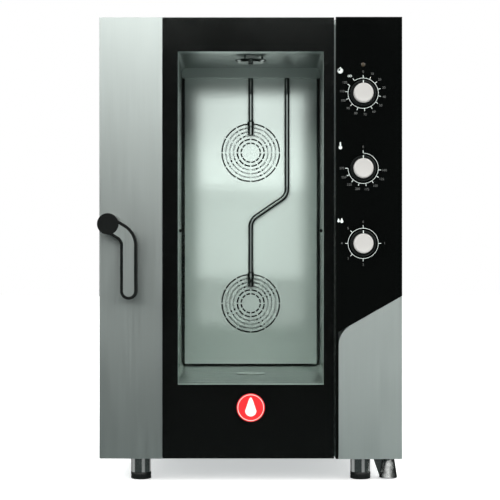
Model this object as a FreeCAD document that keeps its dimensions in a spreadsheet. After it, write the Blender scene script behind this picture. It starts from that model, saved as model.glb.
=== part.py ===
import FreeCAD, Part
import math
import os
import re
import Sketcher

# Combi steamer oven of the eleven-tray class, millimetres.
# X runs to the right as seen from the front, the front faces -Y, and +Z is up.
# The origin is on the floor, below the middle of the outer box.

# ---------------------------------------------------------------- driving sizes

SIZES = [
    # casing
    ("body_width", 730, "outside width"),
    ("body_height", 1066, "underside of the casing to its top"),
    ("casing_depth", 750, "front frame to rear panel"),
    ("foot_height", 58, "floor to underside of the casing"),
    ("casing_sheet", 1.5, "casing sheet"),
    ("fold", 20, "folded edge of a casing panel"),
    ("front_fold", 12, "the same at the front, where the latch needs room"),
    ("tray_height", 40, "height of the base tray's rim"),
    ("tray_sheet", 2, "base tray sheet"),
    ("pipe_stub", 20, "how far the rear connections stand out"),
    ("louvre_length", 110, "cooling slot across"),
    ("louvre_pitch", 12, "cooling slot to cooling slot"),
    ("louvre_rise", 110, "lowest side slot above the underside"),
    ("louvre_setback", 110, "middle of the side slots from the rear panel"),
    ("gutter_width", 22, "drip gutter front to back"),
    ("gutter_wall", 16, "drip gutter's height"),
    ("nut_depth", 6, "clamping nut of a fitting"),
    ("screw_head", 4, "radius of a casing screw's head"),
    ("play", 0.5, "gap between loosely fitted pieces"),
    ("turning_gap", 0.05, "radial gap of a running fit"),
    # control side
    ("fascia_width", 160, "width of the control side"),
    ("fascia_plate", 3, "thickness of the black fascia"),
    ("fascia_wall", 2, "side wall of the control box"),
    ("panel_strip", 7, "black strip beside the steel panel"),
    ("panel_low", 306, "steel panel's upper edge at its left end, above the underside"),
    ("panel_high", 393, "the same at its right end"),
    ("panel_round", 55, "rounding of the steel panel's corner"),
    ("knob_inset", 66, "knob axis from the fascia's left edge"),
    ("knob_rise", 882, "top knob above the underside"),
    ("knob_pitch", 181, "knob to knob"),
    ("skirt_radius", 31.5, "knob skirt"),
    ("skirt_depth", 7, "thickness of the knob skirt"),
    ("cap_radius", 24, "knob cap"),
    ("cap_depth", 15, "height of the knob cap"),
    ("shaft_radius", 3, "knob shaft"),
    ("lamp_offset", 69, "pilot lamp above the top knob"),
    ("bracket_setback", 20, "switch bracket behind the front face"),
    ("switch_size", 46, "side of a rotary switch"),
    ("switch_depth", 25, "depth of a rotary switch"),
    # door
    ("door_thickness", 48, "door, front face to inner face"),
    ("door_gap", 4, "door's inner face to the front frame"),
    ("seam", 4, "gap between door and fascia"),
    ("column_width", 152, "steel column on the handle side"),
    ("column_sheet", 1.2, "column sheet"),
    ("door_sheet", 1.5, "door frame sheet"),
    ("inner_skin", 6.5, "double skin on the door's inner side"),
    ("glass_thickness", 4, "each pane"),
    ("border_thickness", 1, "black border behind the outer pane"),
    ("window_width", 352, "clear window"),
    ("window_height", 804, "clear window"),
    ("window_rise", 179, "window's lower edge above the underside"),
    ("rebate", 11, "how far the inner pane overlaps the window's edge"),
    ("relief_width", 7, "slanted inner edge on the hinge side, which swings past the gasket"),
    ("relief_depth", 2.6, "the same, front to back"),
    ("hinge_inset", 16, "hinge axis from the door's edge"),
    ("hinge_setback", 11, "hinge axis behind the front face"),
    ("pin_radius", 4, "hinge pin"),
    ("pin_length", 18, "hinge pin from its bracket into the door"),
    ("bracket_plate", 5, "hinge bracket plate"),
    ("badge_radius", 34, "round badge"),
    ("badge_rise", 124, "badge above the underside"),
    # handle
    ("handle_reach", 60, "handle in front of the door"),
    ("handle_rise", 566, "handle axis above the underside"),
    ("boss_radius", 25.5, "round boss of the handle"),
    ("lever_width", 40, "lever across"),
    ("lever_depth", 30, "lever front to back"),
    ("lever_run", 49.5, "boss axis to the straight grip, sideways"),
    ("lever_drop", 30, "boss axis to the lever's bend, downwards"),
    ("lever_length", 160, "boss axis to the centre of the grip's round end"),
    ("lever_bend", 38, "radius of the lever's bend at its centre line"),
    ("inlay_width", 26, "steel inlay across"),
    ("inlay_thickness", 1.2, "steel inlay"),
    ("spindle_radius", 6, "latch spindle"),
    ("hook_length", 31, "latch hook from the spindle's axis"),
    ("hook_width", 11, "latch hook across"),
    ("hook_plate", 5, "latch hook's thickness"),
    ("striker_plate", 4, "striker plate"),
    ("slot_play", 3.5, "gap round the latch hook in its slot"),
    # cavity
    ("cavity_width", 384, "inside"),
    ("cavity_height", 830, "inside"),
    ("cavity_rise", 180, "cavity floor above the underside"),
    ("cavity_sheet", 1.5, "cavity sheet"),
    ("cavity_corner", 14, "inside corner radius"),
    ("flange_margin", 3.5, "how far the liner's flange reaches behind the front frame"),
    ("gasket_width", 7, "door gasket across"),
    ("gasket_bead", 2, "sealing bead along the gasket's inner edge"),
    ("bead_clearance", 1.8, "bead to the shut door, which swings past it unpressed"),
    ("base_clearance", 3.2, "the rest of the gasket to the shut door"),
    ("gasket_seat", 4, "gasket seat behind the front frame's face"),
    ("insulation", 32, "insulation round the cavity"),
    ("baffle_sheet", 1.5, "air baffle sheet"),
    ("baffle_side_gap", 8, "air gap beside the baffle"),
    ("fan_chamber", 82, "air baffle to the cavity's back wall"),
    ("motor_space", 110.5, "cavity's back wall, where the motors sit, to the rear panel"),
    ("upper_fan_rise", 776, "upper fan axis above the underside"),
    ("lower_fan_rise", 355, "lower fan axis above the underside"),
    ("slot_radius", 26.7, "innermost ring of slots, mid-line"),
    ("slot_pitch", 10.7, "ring to ring"),
    ("slot_width", 4.2, "slot across"),
    ("slot_bridge", 3.2, "bridge between two slots"),
    ("fan_radius", 104, "fan wheel"),
    ("fan_gap", 14, "baffle to fan wheel"),
    ("fan_depth", 50, "fan wheel front to back"),
    ("motor_radius", 44, "fan motor"),
    ("motor_length", 86, "fan motor"),
    ("motor_shaft", 7, "radius of the motor shaft"),
    ("element_gap", 18, "fan wheel's rim to the heating element's centre line"),
    ("element_pitch", 18, "heating ring to heating ring"),
    ("element_tube", 4.2, "radius of the heating element"),
    ("element_leg", 6, "radius of the sleeves on the element's legs"),
    # water, steam and drain
    ("pipe_radius", 7, "water injection pipe"),
    ("pipe_bend", 35, "bend of the lower injection pipe"),
    ("pipe_standoff", 14, "pipe axis in front of the baffle"),
    ("pipe_offset", 101, "lower pipe's upright run, beside the middle"),
    ("bend_rise", 656, "upper bend of the lower pipe above the underside"),
    ("bend_drop", 69, "height of the pipe's slanting run"),
    ("nozzle_gap", 47, "nozzle tip above the fan axis"),
    ("cover_height", 27, "pipe cover below the ceiling"),
    ("cover_depth", 27, "pipe cover in front of the baffle"),
    ("vent_setback", 268, "vent axis behind the front frame"),
    ("vent_radius", 25, "vent pipe, outside"),
    ("dish_radius", 41.5, "vent deflector dish"),
    ("dish_drop", 15, "dish below the ceiling"),
    ("drain_setback", 278, "drain axis behind the front frame"),
    ("drain_radius", 20, "drain pipe, outside"),
    ("drain_wall", 1.5, "drain pipe wall"),
    ("drain_shoulder", 2, "shoulder at the foot of the drain outlet"),
    ("drain_rise", 66, "drain outlet axis above the underside"),
    ("drain_bend", 45, "bend of the drain pipe"),
    ("inlet_radius", 13.2, "water inlet, three-quarter inch thread"),
    ("inlet_flange", 4, "flange of the water inlet"),
    ("valve_width", 36, "solenoid valve across"),
    ("valve_depth", 60.5, "solenoid valve into the casing"),
    ("valve_height", 32, "solenoid valve's body"),
    ("coil_width", 30, "solenoid coil across"),
    ("coil_height", 34, "solenoid coil's height and depth"),
    ("inlet_rise", 120, "water inlet above the underside"),
    ("inlet_inset", 120, "water inlet from the casing's right side"),
    ("gland_radius", 12.5, "cable gland"),
    ("gland_flange", 7, "flange of the cable gland"),
    ("gland_rise", 190, "cable gland above the underside"),
    ("gland_inset", 60, "cable gland from the casing's right side"),
    ("cable_hole", 7, "radius of the cable's hole in the gland"),
    ("terminal_setback", 180, "first terminal from the rear panel"),
    ("pole_pitch", 22, "terminal to terminal"),
    # feet and lamp
    ("foot_inset", 95, "foot axis from the casing's side"),
    ("foot_setback", 33, "foot axis from the casing's front and back"),
    ("foot_radius", 25, "foot"),
    ("pad_height", 17, "black foot pad"),
    ("stud_radius", 6, "foot stud"),
    ("lens_radius", 26, "oven lamp lens"),
    ("lamp_setback", 150, "oven lamp behind the front frame"),
    ("lamp_rise", 640, "oven lamp above the underside"),
    ("spout_inset", 26.5, "drip spout axis from the casing's side"),
]

# Places that follow from the driving sizes.
LAYOUT = [
    ("half", "body_width / 2"),
    ("base_z", "foot_height"),
    ("top_z", "foot_height + body_height"),
    ("front_y", "(handle_reach - door_thickness - door_gap - casing_depth - pipe_stub) / 2"),
    ("frame_y", "front_y + door_thickness + door_gap"),
    ("rear_y", "frame_y + casing_depth"),
    ("fascia_x", "half - fascia_width"),
    ("door_right", "fascia_x - seam"),
    ("glass_x", "column_width - half"),
    ("hinge_x", "door_right - hinge_inset"),
    ("hinge_y", "front_y + hinge_setback"),
    ("glass_back", "front_y + glass_thickness + border_thickness"),
    ("door_back", "front_y + door_thickness"),
    ("window_low", "base_z + window_rise"),
    ("window_high", "window_low + window_height"),
    ("floor_z", "base_z + cavity_rise"),
    ("ceiling_z", "floor_z + cavity_height"),
    ("wall_x", "cavity_width / 2"),
    ("mouth", "cavity_sheet + gasket_width + play"),
    ("baffle_y", "rear_y - motor_space - fan_chamber - baffle_sheet"),
    ("chamber_y", "baffle_y + baffle_sheet + fan_chamber"),
    ("motor_y", "chamber_y + cavity_sheet"),
    ("element_radius", "fan_radius + element_gap"),
    ("upper_fan_z", "base_z + upper_fan_rise"),
    ("lower_fan_z", "base_z + lower_fan_rise"),
    ("knob_x", "fascia_x + knob_inset"),
    ("handle_x", "boss_radius - half"),
    ("handle_z", "base_z + handle_rise"),
    ("lever_cos", "lever_run / sqrt(lever_run ^ 2 + lever_drop ^ 2)"),
    ("lever_sin", "lever_drop / sqrt(lever_run ^ 2 + lever_drop ^ 2)"),
    ("pipe_y", "baffle_y - pipe_standoff"),
    ("vent_y", "frame_y + vent_setback"),
    ("drain_y", "frame_y + drain_setback"),
    ("drain_z", "base_z + drain_rise"),
    ("lamp_y", "frame_y + lamp_setback"),
    ("lamp_z", "base_z + lamp_rise"),
    ("inlet_x", "half - inlet_inset"),
    ("inlet_z", "base_z + inlet_rise"),
    ("gland_x", "half - gland_inset"),
    ("gland_z", "base_z + gland_rise"),
    ("foot_x", "half - foot_inset"),
    ("foot_front", "frame_y + foot_setback"),
    ("foot_rear", "rear_y - foot_setback"),
    ("spout_x", "half - spout_inset"),
]

doc = FreeCAD.newDocument("combi_steamer_oven")
OWNER = {}


def fill_sheet(name, rows):
    """Makes one sheet with a name, a cell and an alias for each row."""
    sheet = doc.addObject("Spreadsheet::Sheet", name)
    for number, row in enumerate(rows, start=1):
        alias, content = row[0], row[1]
        sheet.set(f"A{number}", alias)
        sheet.set(f"B{number}", f"={linked(content)}" if isinstance(content, str) else str(content))
        sheet.setAlias(f"B{number}", alias)
        if len(row) > 2:
            sheet.set(f"C{number}", row[2])
        OWNER[alias] = name
    return sheet


def linked(text):
    """Puts the right sheet's name in front of every alias in an expression."""
    return re.sub(
        r"[a-z]\w*",
        lambda word: f"{OWNER[word.group()]}.{word.group()}" if word.group() in OWNER else word.group(),
        str(text),
    )


fill_sheet("Sizes", SIZES)
layout = fill_sheet("Layout", LAYOUT)
doc.recompute()


def number(text):
    """The present value of an expression."""
    return float(layout.evalExpression(linked(text)))


# ---------------------------------------------------------------- modelling helpers

X_AXIS = FreeCAD.Rotation(FreeCAD.Vector(0, 1, 0), 90)
Y_AXIS = FreeCAD.Rotation(FreeCAD.Vector(1, 0, 0), -90)
Z_AXIS = FreeCAD.Rotation()
NODES = []


def bind(item, **expressions):
    """Ties properties to the sheets. Placement__Base__x stands for Placement.Base.x."""
    for name, text in expressions.items():
        item.setExpression(name.replace("__", "."), linked(text))


def place(item, x="0", y="0", z="0"):
    bind(item, Placement__Base__x=x, Placement__Base__y=y, Placement__Base__z=z)
    return item


def keep(item, label):
    """Names a finished sub-part."""
    item.Label = label
    NODES.append(item)
    return item


def block(x0, x1, y0, y1, z0, z1):
    """A box between six coordinates."""
    item = doc.addObject("Part::Box", "block")
    bind(item, Length=f"({x1}) - ({x0})", Width=f"({y1}) - ({y0})", Height=f"({z1}) - ({z0})")
    return place(item, x0, y0, z0)


def rod(turn, x, y, z, radius, length):
    """A cylinder from a point along X_AXIS, Y_AXIS or Z_AXIS."""
    item = doc.addObject("Part::Cylinder", "rod")
    item.Placement.Rotation = turn
    bind(item, Radius=radius, Height=length)
    return place(item, x, y, z)


def cone(turn, x, y, z, radius1, radius2, length):
    """A cone frustum from a point along X_AXIS, Y_AXIS or Z_AXIS."""
    item = doc.addObject("Part::Cone", "cone")
    item.Placement.Rotation = turn
    bind(item, Radius1=radius1, Radius2=radius2, Height=length)
    return place(item, x, y, z)


def ring(turn, x, y, z, radius, tube):
    """A torus about the given axis."""
    item = doc.addObject("Part::Torus", "ring")
    item.Placement.Rotation = turn
    bind(item, Radius1=radius, Radius2=tube)
    return place(item, x, y, z)


def fuse(*shapes):
    item = doc.addObject("Part::MultiFuse", "fuse")
    item.Shapes = list(shapes)
    item.Refine = True
    return item


def cut(base, *tools):
    item = doc.addObject("Part::Cut", "cut")
    item.Base = base
    item.Tool = tools[0] if len(tools) == 1 else fuse(*tools)
    item.Refine = True
    return item


def form(label, x="0", y="0", z="0"):
    """An empty body that isn't a sub-part by itself."""
    return place(doc.addObject("PartDesign::Body", label), x, y, z)


def new_body(label, x="0", y="0", z="0"):
    """An empty body that becomes the sub-part of that name."""
    return keep(form(label, x, y, z), label)


def welded(label, whole, regions):
    """A sub-part welded from sheets: the whole form, parted where the sheets meet."""
    sheets = []
    for region in regions:
        sheet = doc.addObject("Part::Common", "sheet")
        sheet.Base = whole
        sheet.Tool = block(*region)
        sheets.append(sheet)
    item = doc.addObject("Part::Compound", label)
    item.Links = sheets
    return keep(item, label)


def sketch_on(body, role, offset="0"):
    """A sketch on one of the body's own planes, moved along its normal."""
    plane = next(item for item in body.Origin.OriginFeatures if item.Role == role)
    sketch = body.newObject("Sketcher::SketchObject", "sketch")
    sketch.AttachmentSupport = (plane, [""])
    sketch.MapMode = "FlatFace"
    sketch.setExpression("AttachmentOffset.Base.z", linked(offset))
    return sketch


def fix_point(sketch, geometry, end, x, y):
    """Holds a sketch point at a place given by two expressions."""
    for kind, text in (("DistanceX", x), ("DistanceY", y)):
        index = sketch.addConstraint(Sketcher.Constraint(kind, -1, 1, geometry, end, number(text)))
        sketch.setExpression(f"Constraints[{index}]", linked(text))


def polygon(sketch, points):
    """Adds a closed outline through points given as expressions."""
    spots = [FreeCAD.Vector(number(x), number(y), 0) for x, y in points]
    first = sketch.GeometryCount
    count = len(spots)
    for index in range(count):
        sketch.addGeometry(Part.LineSegment(spots[index], spots[(index + 1) % count]))
    for index, (x, y) in enumerate(points):
        following = first + (index + 1) % count
        sketch.addConstraint(Sketcher.Constraint("Coincident", first + index, 2, following, 1))
        fix_point(sketch, first + index, 1, x, y)
    return sketch


def rectangle(sketch, x0, x1, y0, y1):
    return polygon(sketch, [(x0, y0), (x1, y0), (x1, y1), (x0, y1)])


def circle(sketch, x, y, radius):
    centre = FreeCAD.Vector(number(x), number(y), 0)
    index = sketch.addGeometry(Part.Circle(centre, FreeCAD.Vector(0, 0, 1), number(radius)))
    fix_point(sketch, index, 3, x, y)
    held = sketch.addConstraint(Sketcher.Constraint("Radius", index, number(radius)))
    sketch.setExpression(f"Constraints[{held}]", linked(radius))
    return sketch


def pad(body, sketch, length, backwards=False):
    """Adds the sketch's area along its normal, or backwards."""
    feature = body.newObject("PartDesign::Pad", "pad")
    feature.Profile = sketch
    feature.Reversed = backwards
    bind(feature, Length=length)
    return feature


def pocket(body, sketch, length=None, backwards=False):
    """Cuts the sketch's area against its normal, or backwards; with no length, right through both ways."""
    feature = body.newObject("PartDesign::Pocket", "pocket")
    feature.Profile = sketch
    if length is None:
        feature.Type = "ThroughAll"
        feature.Midplane = True
    else:
        feature.Reversed = backwards
        bind(feature, Length=length)
    return feature


def revolve(body, sketch, axis):
    feature = body.newObject("PartDesign::Revolution", "revolve")
    feature.Profile = sketch
    feature.ReferenceAxis = (sketch, [axis])
    feature.Angle = 360
    return feature


def pattern(body, feature, kind, axis_owner, axis, occurrences, **expressions):
    """Repeats a feature: kind is PolarPattern or LinearPattern."""
    repeat = body.newObject(f"PartDesign::{kind}", "pattern")
    repeat.Originals = [feature]
    if kind == "PolarPattern":
        repeat.Axis = (axis_owner, [axis])
        repeat.Angle = 360
    else:
        repeat.Direction = (axis_owner, [axis])
        bind(repeat, **expressions)
    repeat.Occurrences = occurrences
    body.Tip = repeat
    return repeat


def round_edges(body, feature, radius, wanted):
    """Fillets the edges of a feature for which wanted(edge) is true."""
    doc.recompute()
    names = [f"Edge{index}" for index, edge in enumerate(feature.Shape.Edges, start=1) if wanted(edge)]
    fillet = body.newObject("PartDesign::Fillet", "round")
    fillet.Base = (feature, names)
    bind(fillet, Radius=radius)
    return fillet


def along(axis, edge):
    """True for a straight edge along the unit vector axis."""
    if edge.Curve.TypeId != "Part::GeomLine":
        return False
    return abs(abs(edge.tangentAt(edge.FirstParameter).dot(axis)) - 1) < 1e-6


def passes(edge, x, z, within=0.5):
    """True when a front-to-back edge lies at x and z of its body."""
    centre = edge.CenterOfMass
    return abs(centre.x - number(x)) < within and abs(centre.z - number(z)) < within


FRONT_TO_BACK = FreeCAD.Vector(0, 1, 0)
UPRIGHT = FreeCAD.Vector(0, 0, 1)

# ---------------------------------------------------------------- casing


def base_frame():
    """Folded tray that carries the cavity and stands on the feet."""
    body = new_body("base_frame", z="base_z")
    outer = (
        "casing_sheet - half",
        "half - casing_sheet",
        "frame_y + 2 * casing_sheet",
        "rear_y - 2 * casing_sheet",
    )
    inner = (
        "casing_sheet - half + tray_sheet",
        "half - casing_sheet - tray_sheet",
        "frame_y + 2 * casing_sheet + tray_sheet",
        "rear_y - 2 * casing_sheet - tray_sheet",
    )
    pad(body, rectangle(sketch_on(body, "XY_Plane"), *outer), "tray_height")
    pocket(body, rectangle(sketch_on(body, "XY_Plane", "tray_height"), *inner), "tray_height - tray_sheet")
    studs = sketch_on(body, "XY_Plane")
    for x in ("foot_x", "-foot_x"):
        for y in ("foot_front", "foot_rear"):
            circle(studs, x, y, "stud_radius + play")
    pocket(body, studs)


def side_panel(label, side, front):
    """Upright folded sheet; side is -1 for the left, and front is where its front edge lies."""
    body = new_body(label, z="base_z")
    outside = f"({side}) * half"
    skin = f"({side}) * (half - casing_sheet)"
    folded = f"({side}) * (half - fold)"
    front_folded = f"({side}) * (half - front_fold)"
    back = "rear_y - casing_sheet"
    profile = [
        (outside, front),
        (outside, back),
        (folded, back),
        (folded, f"{back} - casing_sheet"),
        (skin, f"{back} - casing_sheet"),
        (skin, f"{front} + casing_sheet"),
        (front_folded, f"{front} + casing_sheet"),
        (front_folded, front),
    ]
    pad(body, polygon(sketch_on(body, "XY_Plane"), profile), "body_height - casing_sheet")
    return body


def louvres(body, role, across, low, count):
    """A ladder of cooling slots; across is the middle of the slots on the sketch's first axis."""
    sketch = sketch_on(body, role)
    side = "louvre_length / 2"
    rectangle(sketch, f"{across} - {side}", f"{across} + {side}", low, f"{low} + louvre_pitch / 2")
    slot = pocket(body, sketch)
    pattern(body, slot, "LinearPattern", sketch, "V_Axis", count, Length=f"louvre_pitch * {count - 1}")


def side_panels():
    """Plain on the left; on the right with cooling slots and forward to the fascia."""
    side_panel("left_side_panel", "-1", "frame_y + casing_sheet")
    right = side_panel("right_side_panel", "1", "front_y + fascia_plate")
    louvres(right, "YZ_Plane", "rear_y - louvre_setback", "louvre_rise", 12)


def top_cover():
    """Flat lid with two stiffening angles under it and a hole for the vent pipe."""
    body = form("lid", z="top_z - casing_sheet")
    pad(body, rectangle(sketch_on(body, "XY_Plane"), "-half", "half", "frame_y", "rear_y"), "casing_sheet")
    folds = sketch_on(body, "XY_Plane")
    for side in ("-1", "1"):
        edges = [f"({side}) * (half - casing_sheet)", f"({side}) * (half - 2 * casing_sheet)"]
        low, high = sorted(edges, key=number)
        rectangle(folds, low, high, "frame_y + fold", "rear_y - fold")
    pad(body, folds, "fold", backwards=True)
    pocket(body, circle(sketch_on(body, "XY_Plane"), "0", "vent_y", "vent_radius + play"))
    under = "top_z - casing_sheet"
    welded(
        "top_cover",
        body,
        [
            ("-half", "half", "frame_y", "rear_y", under, "top_z"),
            ("-half", "0", "frame_y", "rear_y", f"{under} - fold", under),
            ("0", "half", "frame_y", "rear_y", f"{under} - fold", under),
        ],
    )


def rear_panel():
    """Back sheet with louvres behind the motors and holes for the connections."""
    body = new_body("rear_panel", y="rear_y - casing_sheet")
    outline = rectangle(sketch_on(body, "XZ_Plane"), "-half", "half", "base_z", "top_z - casing_sheet")
    pad(body, outline, "casing_sheet", backwards=True)
    holes = sketch_on(body, "XZ_Plane")
    circle(holes, "0", "drain_z", "drain_radius + play")
    circle(holes, "inlet_x", "inlet_z", "inlet_radius + play")
    circle(holes, "gland_x", "gland_z", "gland_radius - 2 + play")
    pocket(body, holes)
    for fan in ("lower_fan_z", "upper_fan_z"):
        louvres(body, "XZ_Plane", "0", f"{fan} - 4 * louvre_pitch", 8)


def front_frame():
    """Front sheet round the mouth of the cavity, with the latch slot and the hinge slots."""
    body = new_body("front_frame", y="frame_y")
    sketch = sketch_on(body, "XZ_Plane")
    rectangle(sketch, "-half", "half - casing_sheet", "base_z", "top_z - casing_sheet")
    pad(body, sketch, "casing_sheet", backwards=True)
    holes = sketch_on(body, "XZ_Plane")
    rectangle(holes, "-wall_x - mouth", "wall_x + mouth", "floor_z - mouth", "ceiling_z + mouth")
    rectangle(holes, *latch_slot())
    under = "(floor_z - mouth)"
    rectangle(holes, "fold - wall_x", "wall_x - fold", f"{under} - 18", f"{under} - 8")
    for low, high in hinge_levels():
        rectangle(holes, "hinge_x - 40 - play", "hinge_x - 8 + play", f"{low} - play", f"{high} + play")
    pocket(body, holes)


def latch_slot():
    """The latch hook leaves through this upright slot once it is turned up."""
    across = "(hook_width / 2 + slot_play)"
    return (
        f"handle_x - {across}",
        f"handle_x + {across}",
        "handle_z - spindle_radius - slot_play",
        "handle_z + hook_length + 5",
    )


def hinge_levels():
    """Lower and upper face of the two hinge plates."""
    return (
        ("base_z + 2", "base_z + 2 + bracket_plate"),
        ("top_z - 2 - bracket_plate", "top_z - 2"),
    )


def latch_striker():
    """Plate behind the front frame that the latch hook grips."""
    body = new_body("latch_striker", y="frame_y + casing_sheet")
    sketch = sketch_on(body, "XZ_Plane")
    left, right = "front_fold - half + play", "handle_x + hook_length + 12"
    rectangle(sketch, left, right, "handle_z - 22", "handle_z + hook_length + 17")
    pad(body, sketch, "striker_plate", backwards=True)
    pocket(body, rectangle(sketch_on(body, "XZ_Plane"), *latch_slot()))


def hinge_brackets():
    """Two plates through the front frame, each with a pin that the door turns on."""
    pieces = []
    (low, _), (high, _) = hinge_levels()
    for level, pin_low, pin_high in (
        (low, low, f"{low} + bracket_plate + pin_length"),
        (high, f"{high} - pin_length", f"{high} + bracket_plate"),
    ):
        plate = doc.addObject("Sketcher::SketchObject", "hinge_outline")
        polygon(
            plate,
            [
                ("hinge_x + 4", "hinge_y - 4"),
                ("hinge_x + 4", "hinge_y + 2"),
                ("hinge_x - 8", "hinge_y + 14"),
                ("hinge_x - 8", "frame_y + 2 * casing_sheet"),
                ("hinge_x - 40", "frame_y + 2 * casing_sheet"),
                ("hinge_x - 40", "hinge_y + 30"),
                ("hinge_x - 6", "hinge_y - 4"),
            ],
        )
        place(plate, z=level)
        solid = doc.addObject("Part::Extrusion", "hinge_plate")
        solid.Base = plate
        solid.DirMode = "Custom"
        solid.Dir = UPRIGHT
        solid.Solid = True
        bind(solid, LengthFwd="bracket_plate")
        pin = rod(Z_AXIS, "hinge_x", "hinge_y", pin_low, "pin_radius", f"({pin_high}) - ({pin_low})")
        pieces.append(fuse(solid, pin))
    keep(fuse(*pieces), "hinge_brackets")


def drip_gutter():
    """Channel behind the front frame, below the mouth, that catches what runs off the door."""
    body = new_body("drip_gutter", x="-wall_x", z="floor_z - mouth - gutter_width")
    profile = sketch_on(body, "YZ_Plane")
    front = "frame_y + casing_sheet"
    back = f"{front} + gutter_width"
    polygon(
        profile,
        [
            (front, "0"),
            (back, "0"),
            (back, "gutter_wall"),
            (f"{back} - casing_sheet", "gutter_wall"),
            (f"{back} - casing_sheet", "casing_sheet"),
            (f"{front} + casing_sheet", "casing_sheet"),
            (f"{front} + casing_sheet", "gutter_wall"),
            (front, "gutter_wall"),
        ],
    )
    pad(body, profile, "cavity_width")


# ---------------------------------------------------------------- control side


def control_fascia():
    """Black front of the control box, with its inner side wall, top and bottom."""
    plate = new_body("control_fascia", y="front_y")
    outline = sketch_on(plate, "XZ_Plane")
    polygon(
        outline,
        [
            ("fascia_x", "base_z"),
            ("fascia_x + panel_strip - play", "base_z"),
            ("fascia_x + panel_strip - play", "base_z + panel_low + play"),
            ("half", "base_z + panel_high + play"),
            ("half", "top_z"),
            ("fascia_x", "top_z"),
        ],
    )
    pad(plate, outline, "fascia_plate", backwards=True)
    walls = sketch_on(plate, "XZ_Plane", "-fascia_plate")
    polygon(
        walls,
        [
            ("fascia_x", "base_z"),
            ("fascia_x + fascia_wall", "base_z"),
            ("fascia_x + fascia_wall", "top_z - casing_sheet"),
            ("half - casing_sheet - play", "top_z - casing_sheet"),
            ("half - casing_sheet - play", "top_z"),
            ("fascia_x", "top_z"),
        ],
    )
    pad(plate, walls, "door_thickness + door_gap - fascia_plate", backwards=True)
    holes = sketch_on(plate, "XZ_Plane")
    for index in range(3):
        circle(holes, "knob_x", f"{knob_level(index)}", "shaft_radius + 2")
    circle(holes, "knob_x", f"{knob_level(0)} + lamp_offset", "shaft_radius + 1 + play")
    pocket(plate, holes)


def knob_level(index):
    return f"base_z + knob_rise - {index} * knob_pitch"


def lower_front_panel():
    """Steel panel below the fascia with a slanting upper edge."""
    body = new_body("lower_front_panel", y="front_y")
    sketch = sketch_on(body, "XZ_Plane")
    polygon(
        sketch,
        [
            ("fascia_x + panel_strip", "base_z"),
            ("half", "base_z"),
            ("half", "base_z + panel_high"),
            ("fascia_x + panel_strip", "base_z + panel_low"),
        ],
    )
    plate = pad(body, sketch, "fascia_plate", backwards=True)
    round_edges(
        body,
        plate,
        "panel_round",
        lambda edge: along(FRONT_TO_BACK, edge)
        and passes(edge, "fascia_x + panel_strip", "base_z + panel_low"),
    )


def switch_bracket():
    """Plate across the control box that carries the three rotary switches."""
    body = new_body("switch_bracket", y="front_y + bracket_setback")
    sketch = sketch_on(body, "XZ_Plane")
    rectangle(
        sketch,
        "fascia_x + fascia_wall",
        "half - casing_sheet",
        f"{knob_level(2)} - switch_size",
        f"{knob_level(0)} + switch_size",
    )
    pad(body, sketch, "casing_sheet", backwards=True)
    holes = sketch_on(body, "XZ_Plane")
    for index in range(3):
        circle(holes, "knob_x", knob_level(index), "shaft_radius + 3 + play")
    pocket(body, holes)


def rotary_switches():
    """Timer, thermostat and humidity control: each a body with a threaded neck and a bore for its shaft."""
    back = "front_y + bracket_setback + casing_sheet"
    side = "switch_size / 2"
    for index, label in enumerate(("timer_switch", "thermostat_switch", "humidity_switch")):
        level = knob_level(index)
        if label == "timer_switch":
            case = rod(Y_AXIS, "knob_x", back, level, side, "switch_depth")
        else:
            case = block(
                f"knob_x - {side}",
                f"knob_x + {side}",
                back,
                f"{back} + switch_depth",
                f"{level} - {side}",
                f"{level} + {side}",
            )
        front = f"{back} - casing_sheet - nut_depth"
        neck = rod(Y_AXIS, "knob_x", front, level, "shaft_radius + 3", "casing_sheet + nut_depth + 1")
        bore = rod(Y_AXIS, "knob_x", f"{back} - 12", level, "shaft_radius + turning_gap", "28")
        pieces = [case, neck]
        if label == "thermostat_switch":
            sensor_tube = f"{back} + switch_depth / 2"
            pieces.append(rod(Z_AXIS, "knob_x", sensor_tube, f"{level} + {side} - 1", "shaft_radius", "19"))
        if label == "humidity_switch":
            for shift in ("-12", "0", "12"):
                left = f"knob_x + {shift} - 2"
                low = f"{level} - {side} - 10"
                pieces.append(block(left, f"{left} + 4", f"{back} + 8", f"{back} + 9", low, level))
        keep(cut(fuse(*pieces), bore), label)


def pilot_lamp():
    """Small round indicator above the top knob."""
    body = new_body("pilot_lamp", x="knob_x", y="front_y", z=f"{knob_level(0)} + lamp_offset")
    sketch = sketch_on(body, "XY_Plane")
    polygon(
        sketch,
        [
            ("0", "-2"),
            ("shaft_radius", "-2"),
            ("shaft_radius + 2", "0"),
            ("shaft_radius + 1", "0"),
            ("shaft_radius + 1", "18"),
            ("0", "18"),
        ],
    )
    revolve(body, sketch, "V_Axis")


def knob_skirt(name, level):
    """Black skirt with a hollow behind it and its shaft."""
    skirt = new_body(f"{name}_knob_skirt", x="knob_x", y="front_y", z=level)
    sketch = sketch_on(skirt, "XY_Plane")
    shaft_end = "bracket_setback + casing_sheet + 14"
    polygon(
        sketch,
        [
            ("0", "-play - skirt_depth"),
            ("skirt_radius - 2.5", "-play - skirt_depth"),
            ("skirt_radius", "-play - 2"),
            ("skirt_radius", "-play"),
            ("shaft_radius + 5", "-play"),
            ("shaft_radius + 5", "-play - 3"),
            ("shaft_radius", "-play - 3"),
            ("shaft_radius", shaft_end),
            ("0", shaft_end),
        ],
    )
    revolve(skirt, sketch, "V_Axis")


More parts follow.
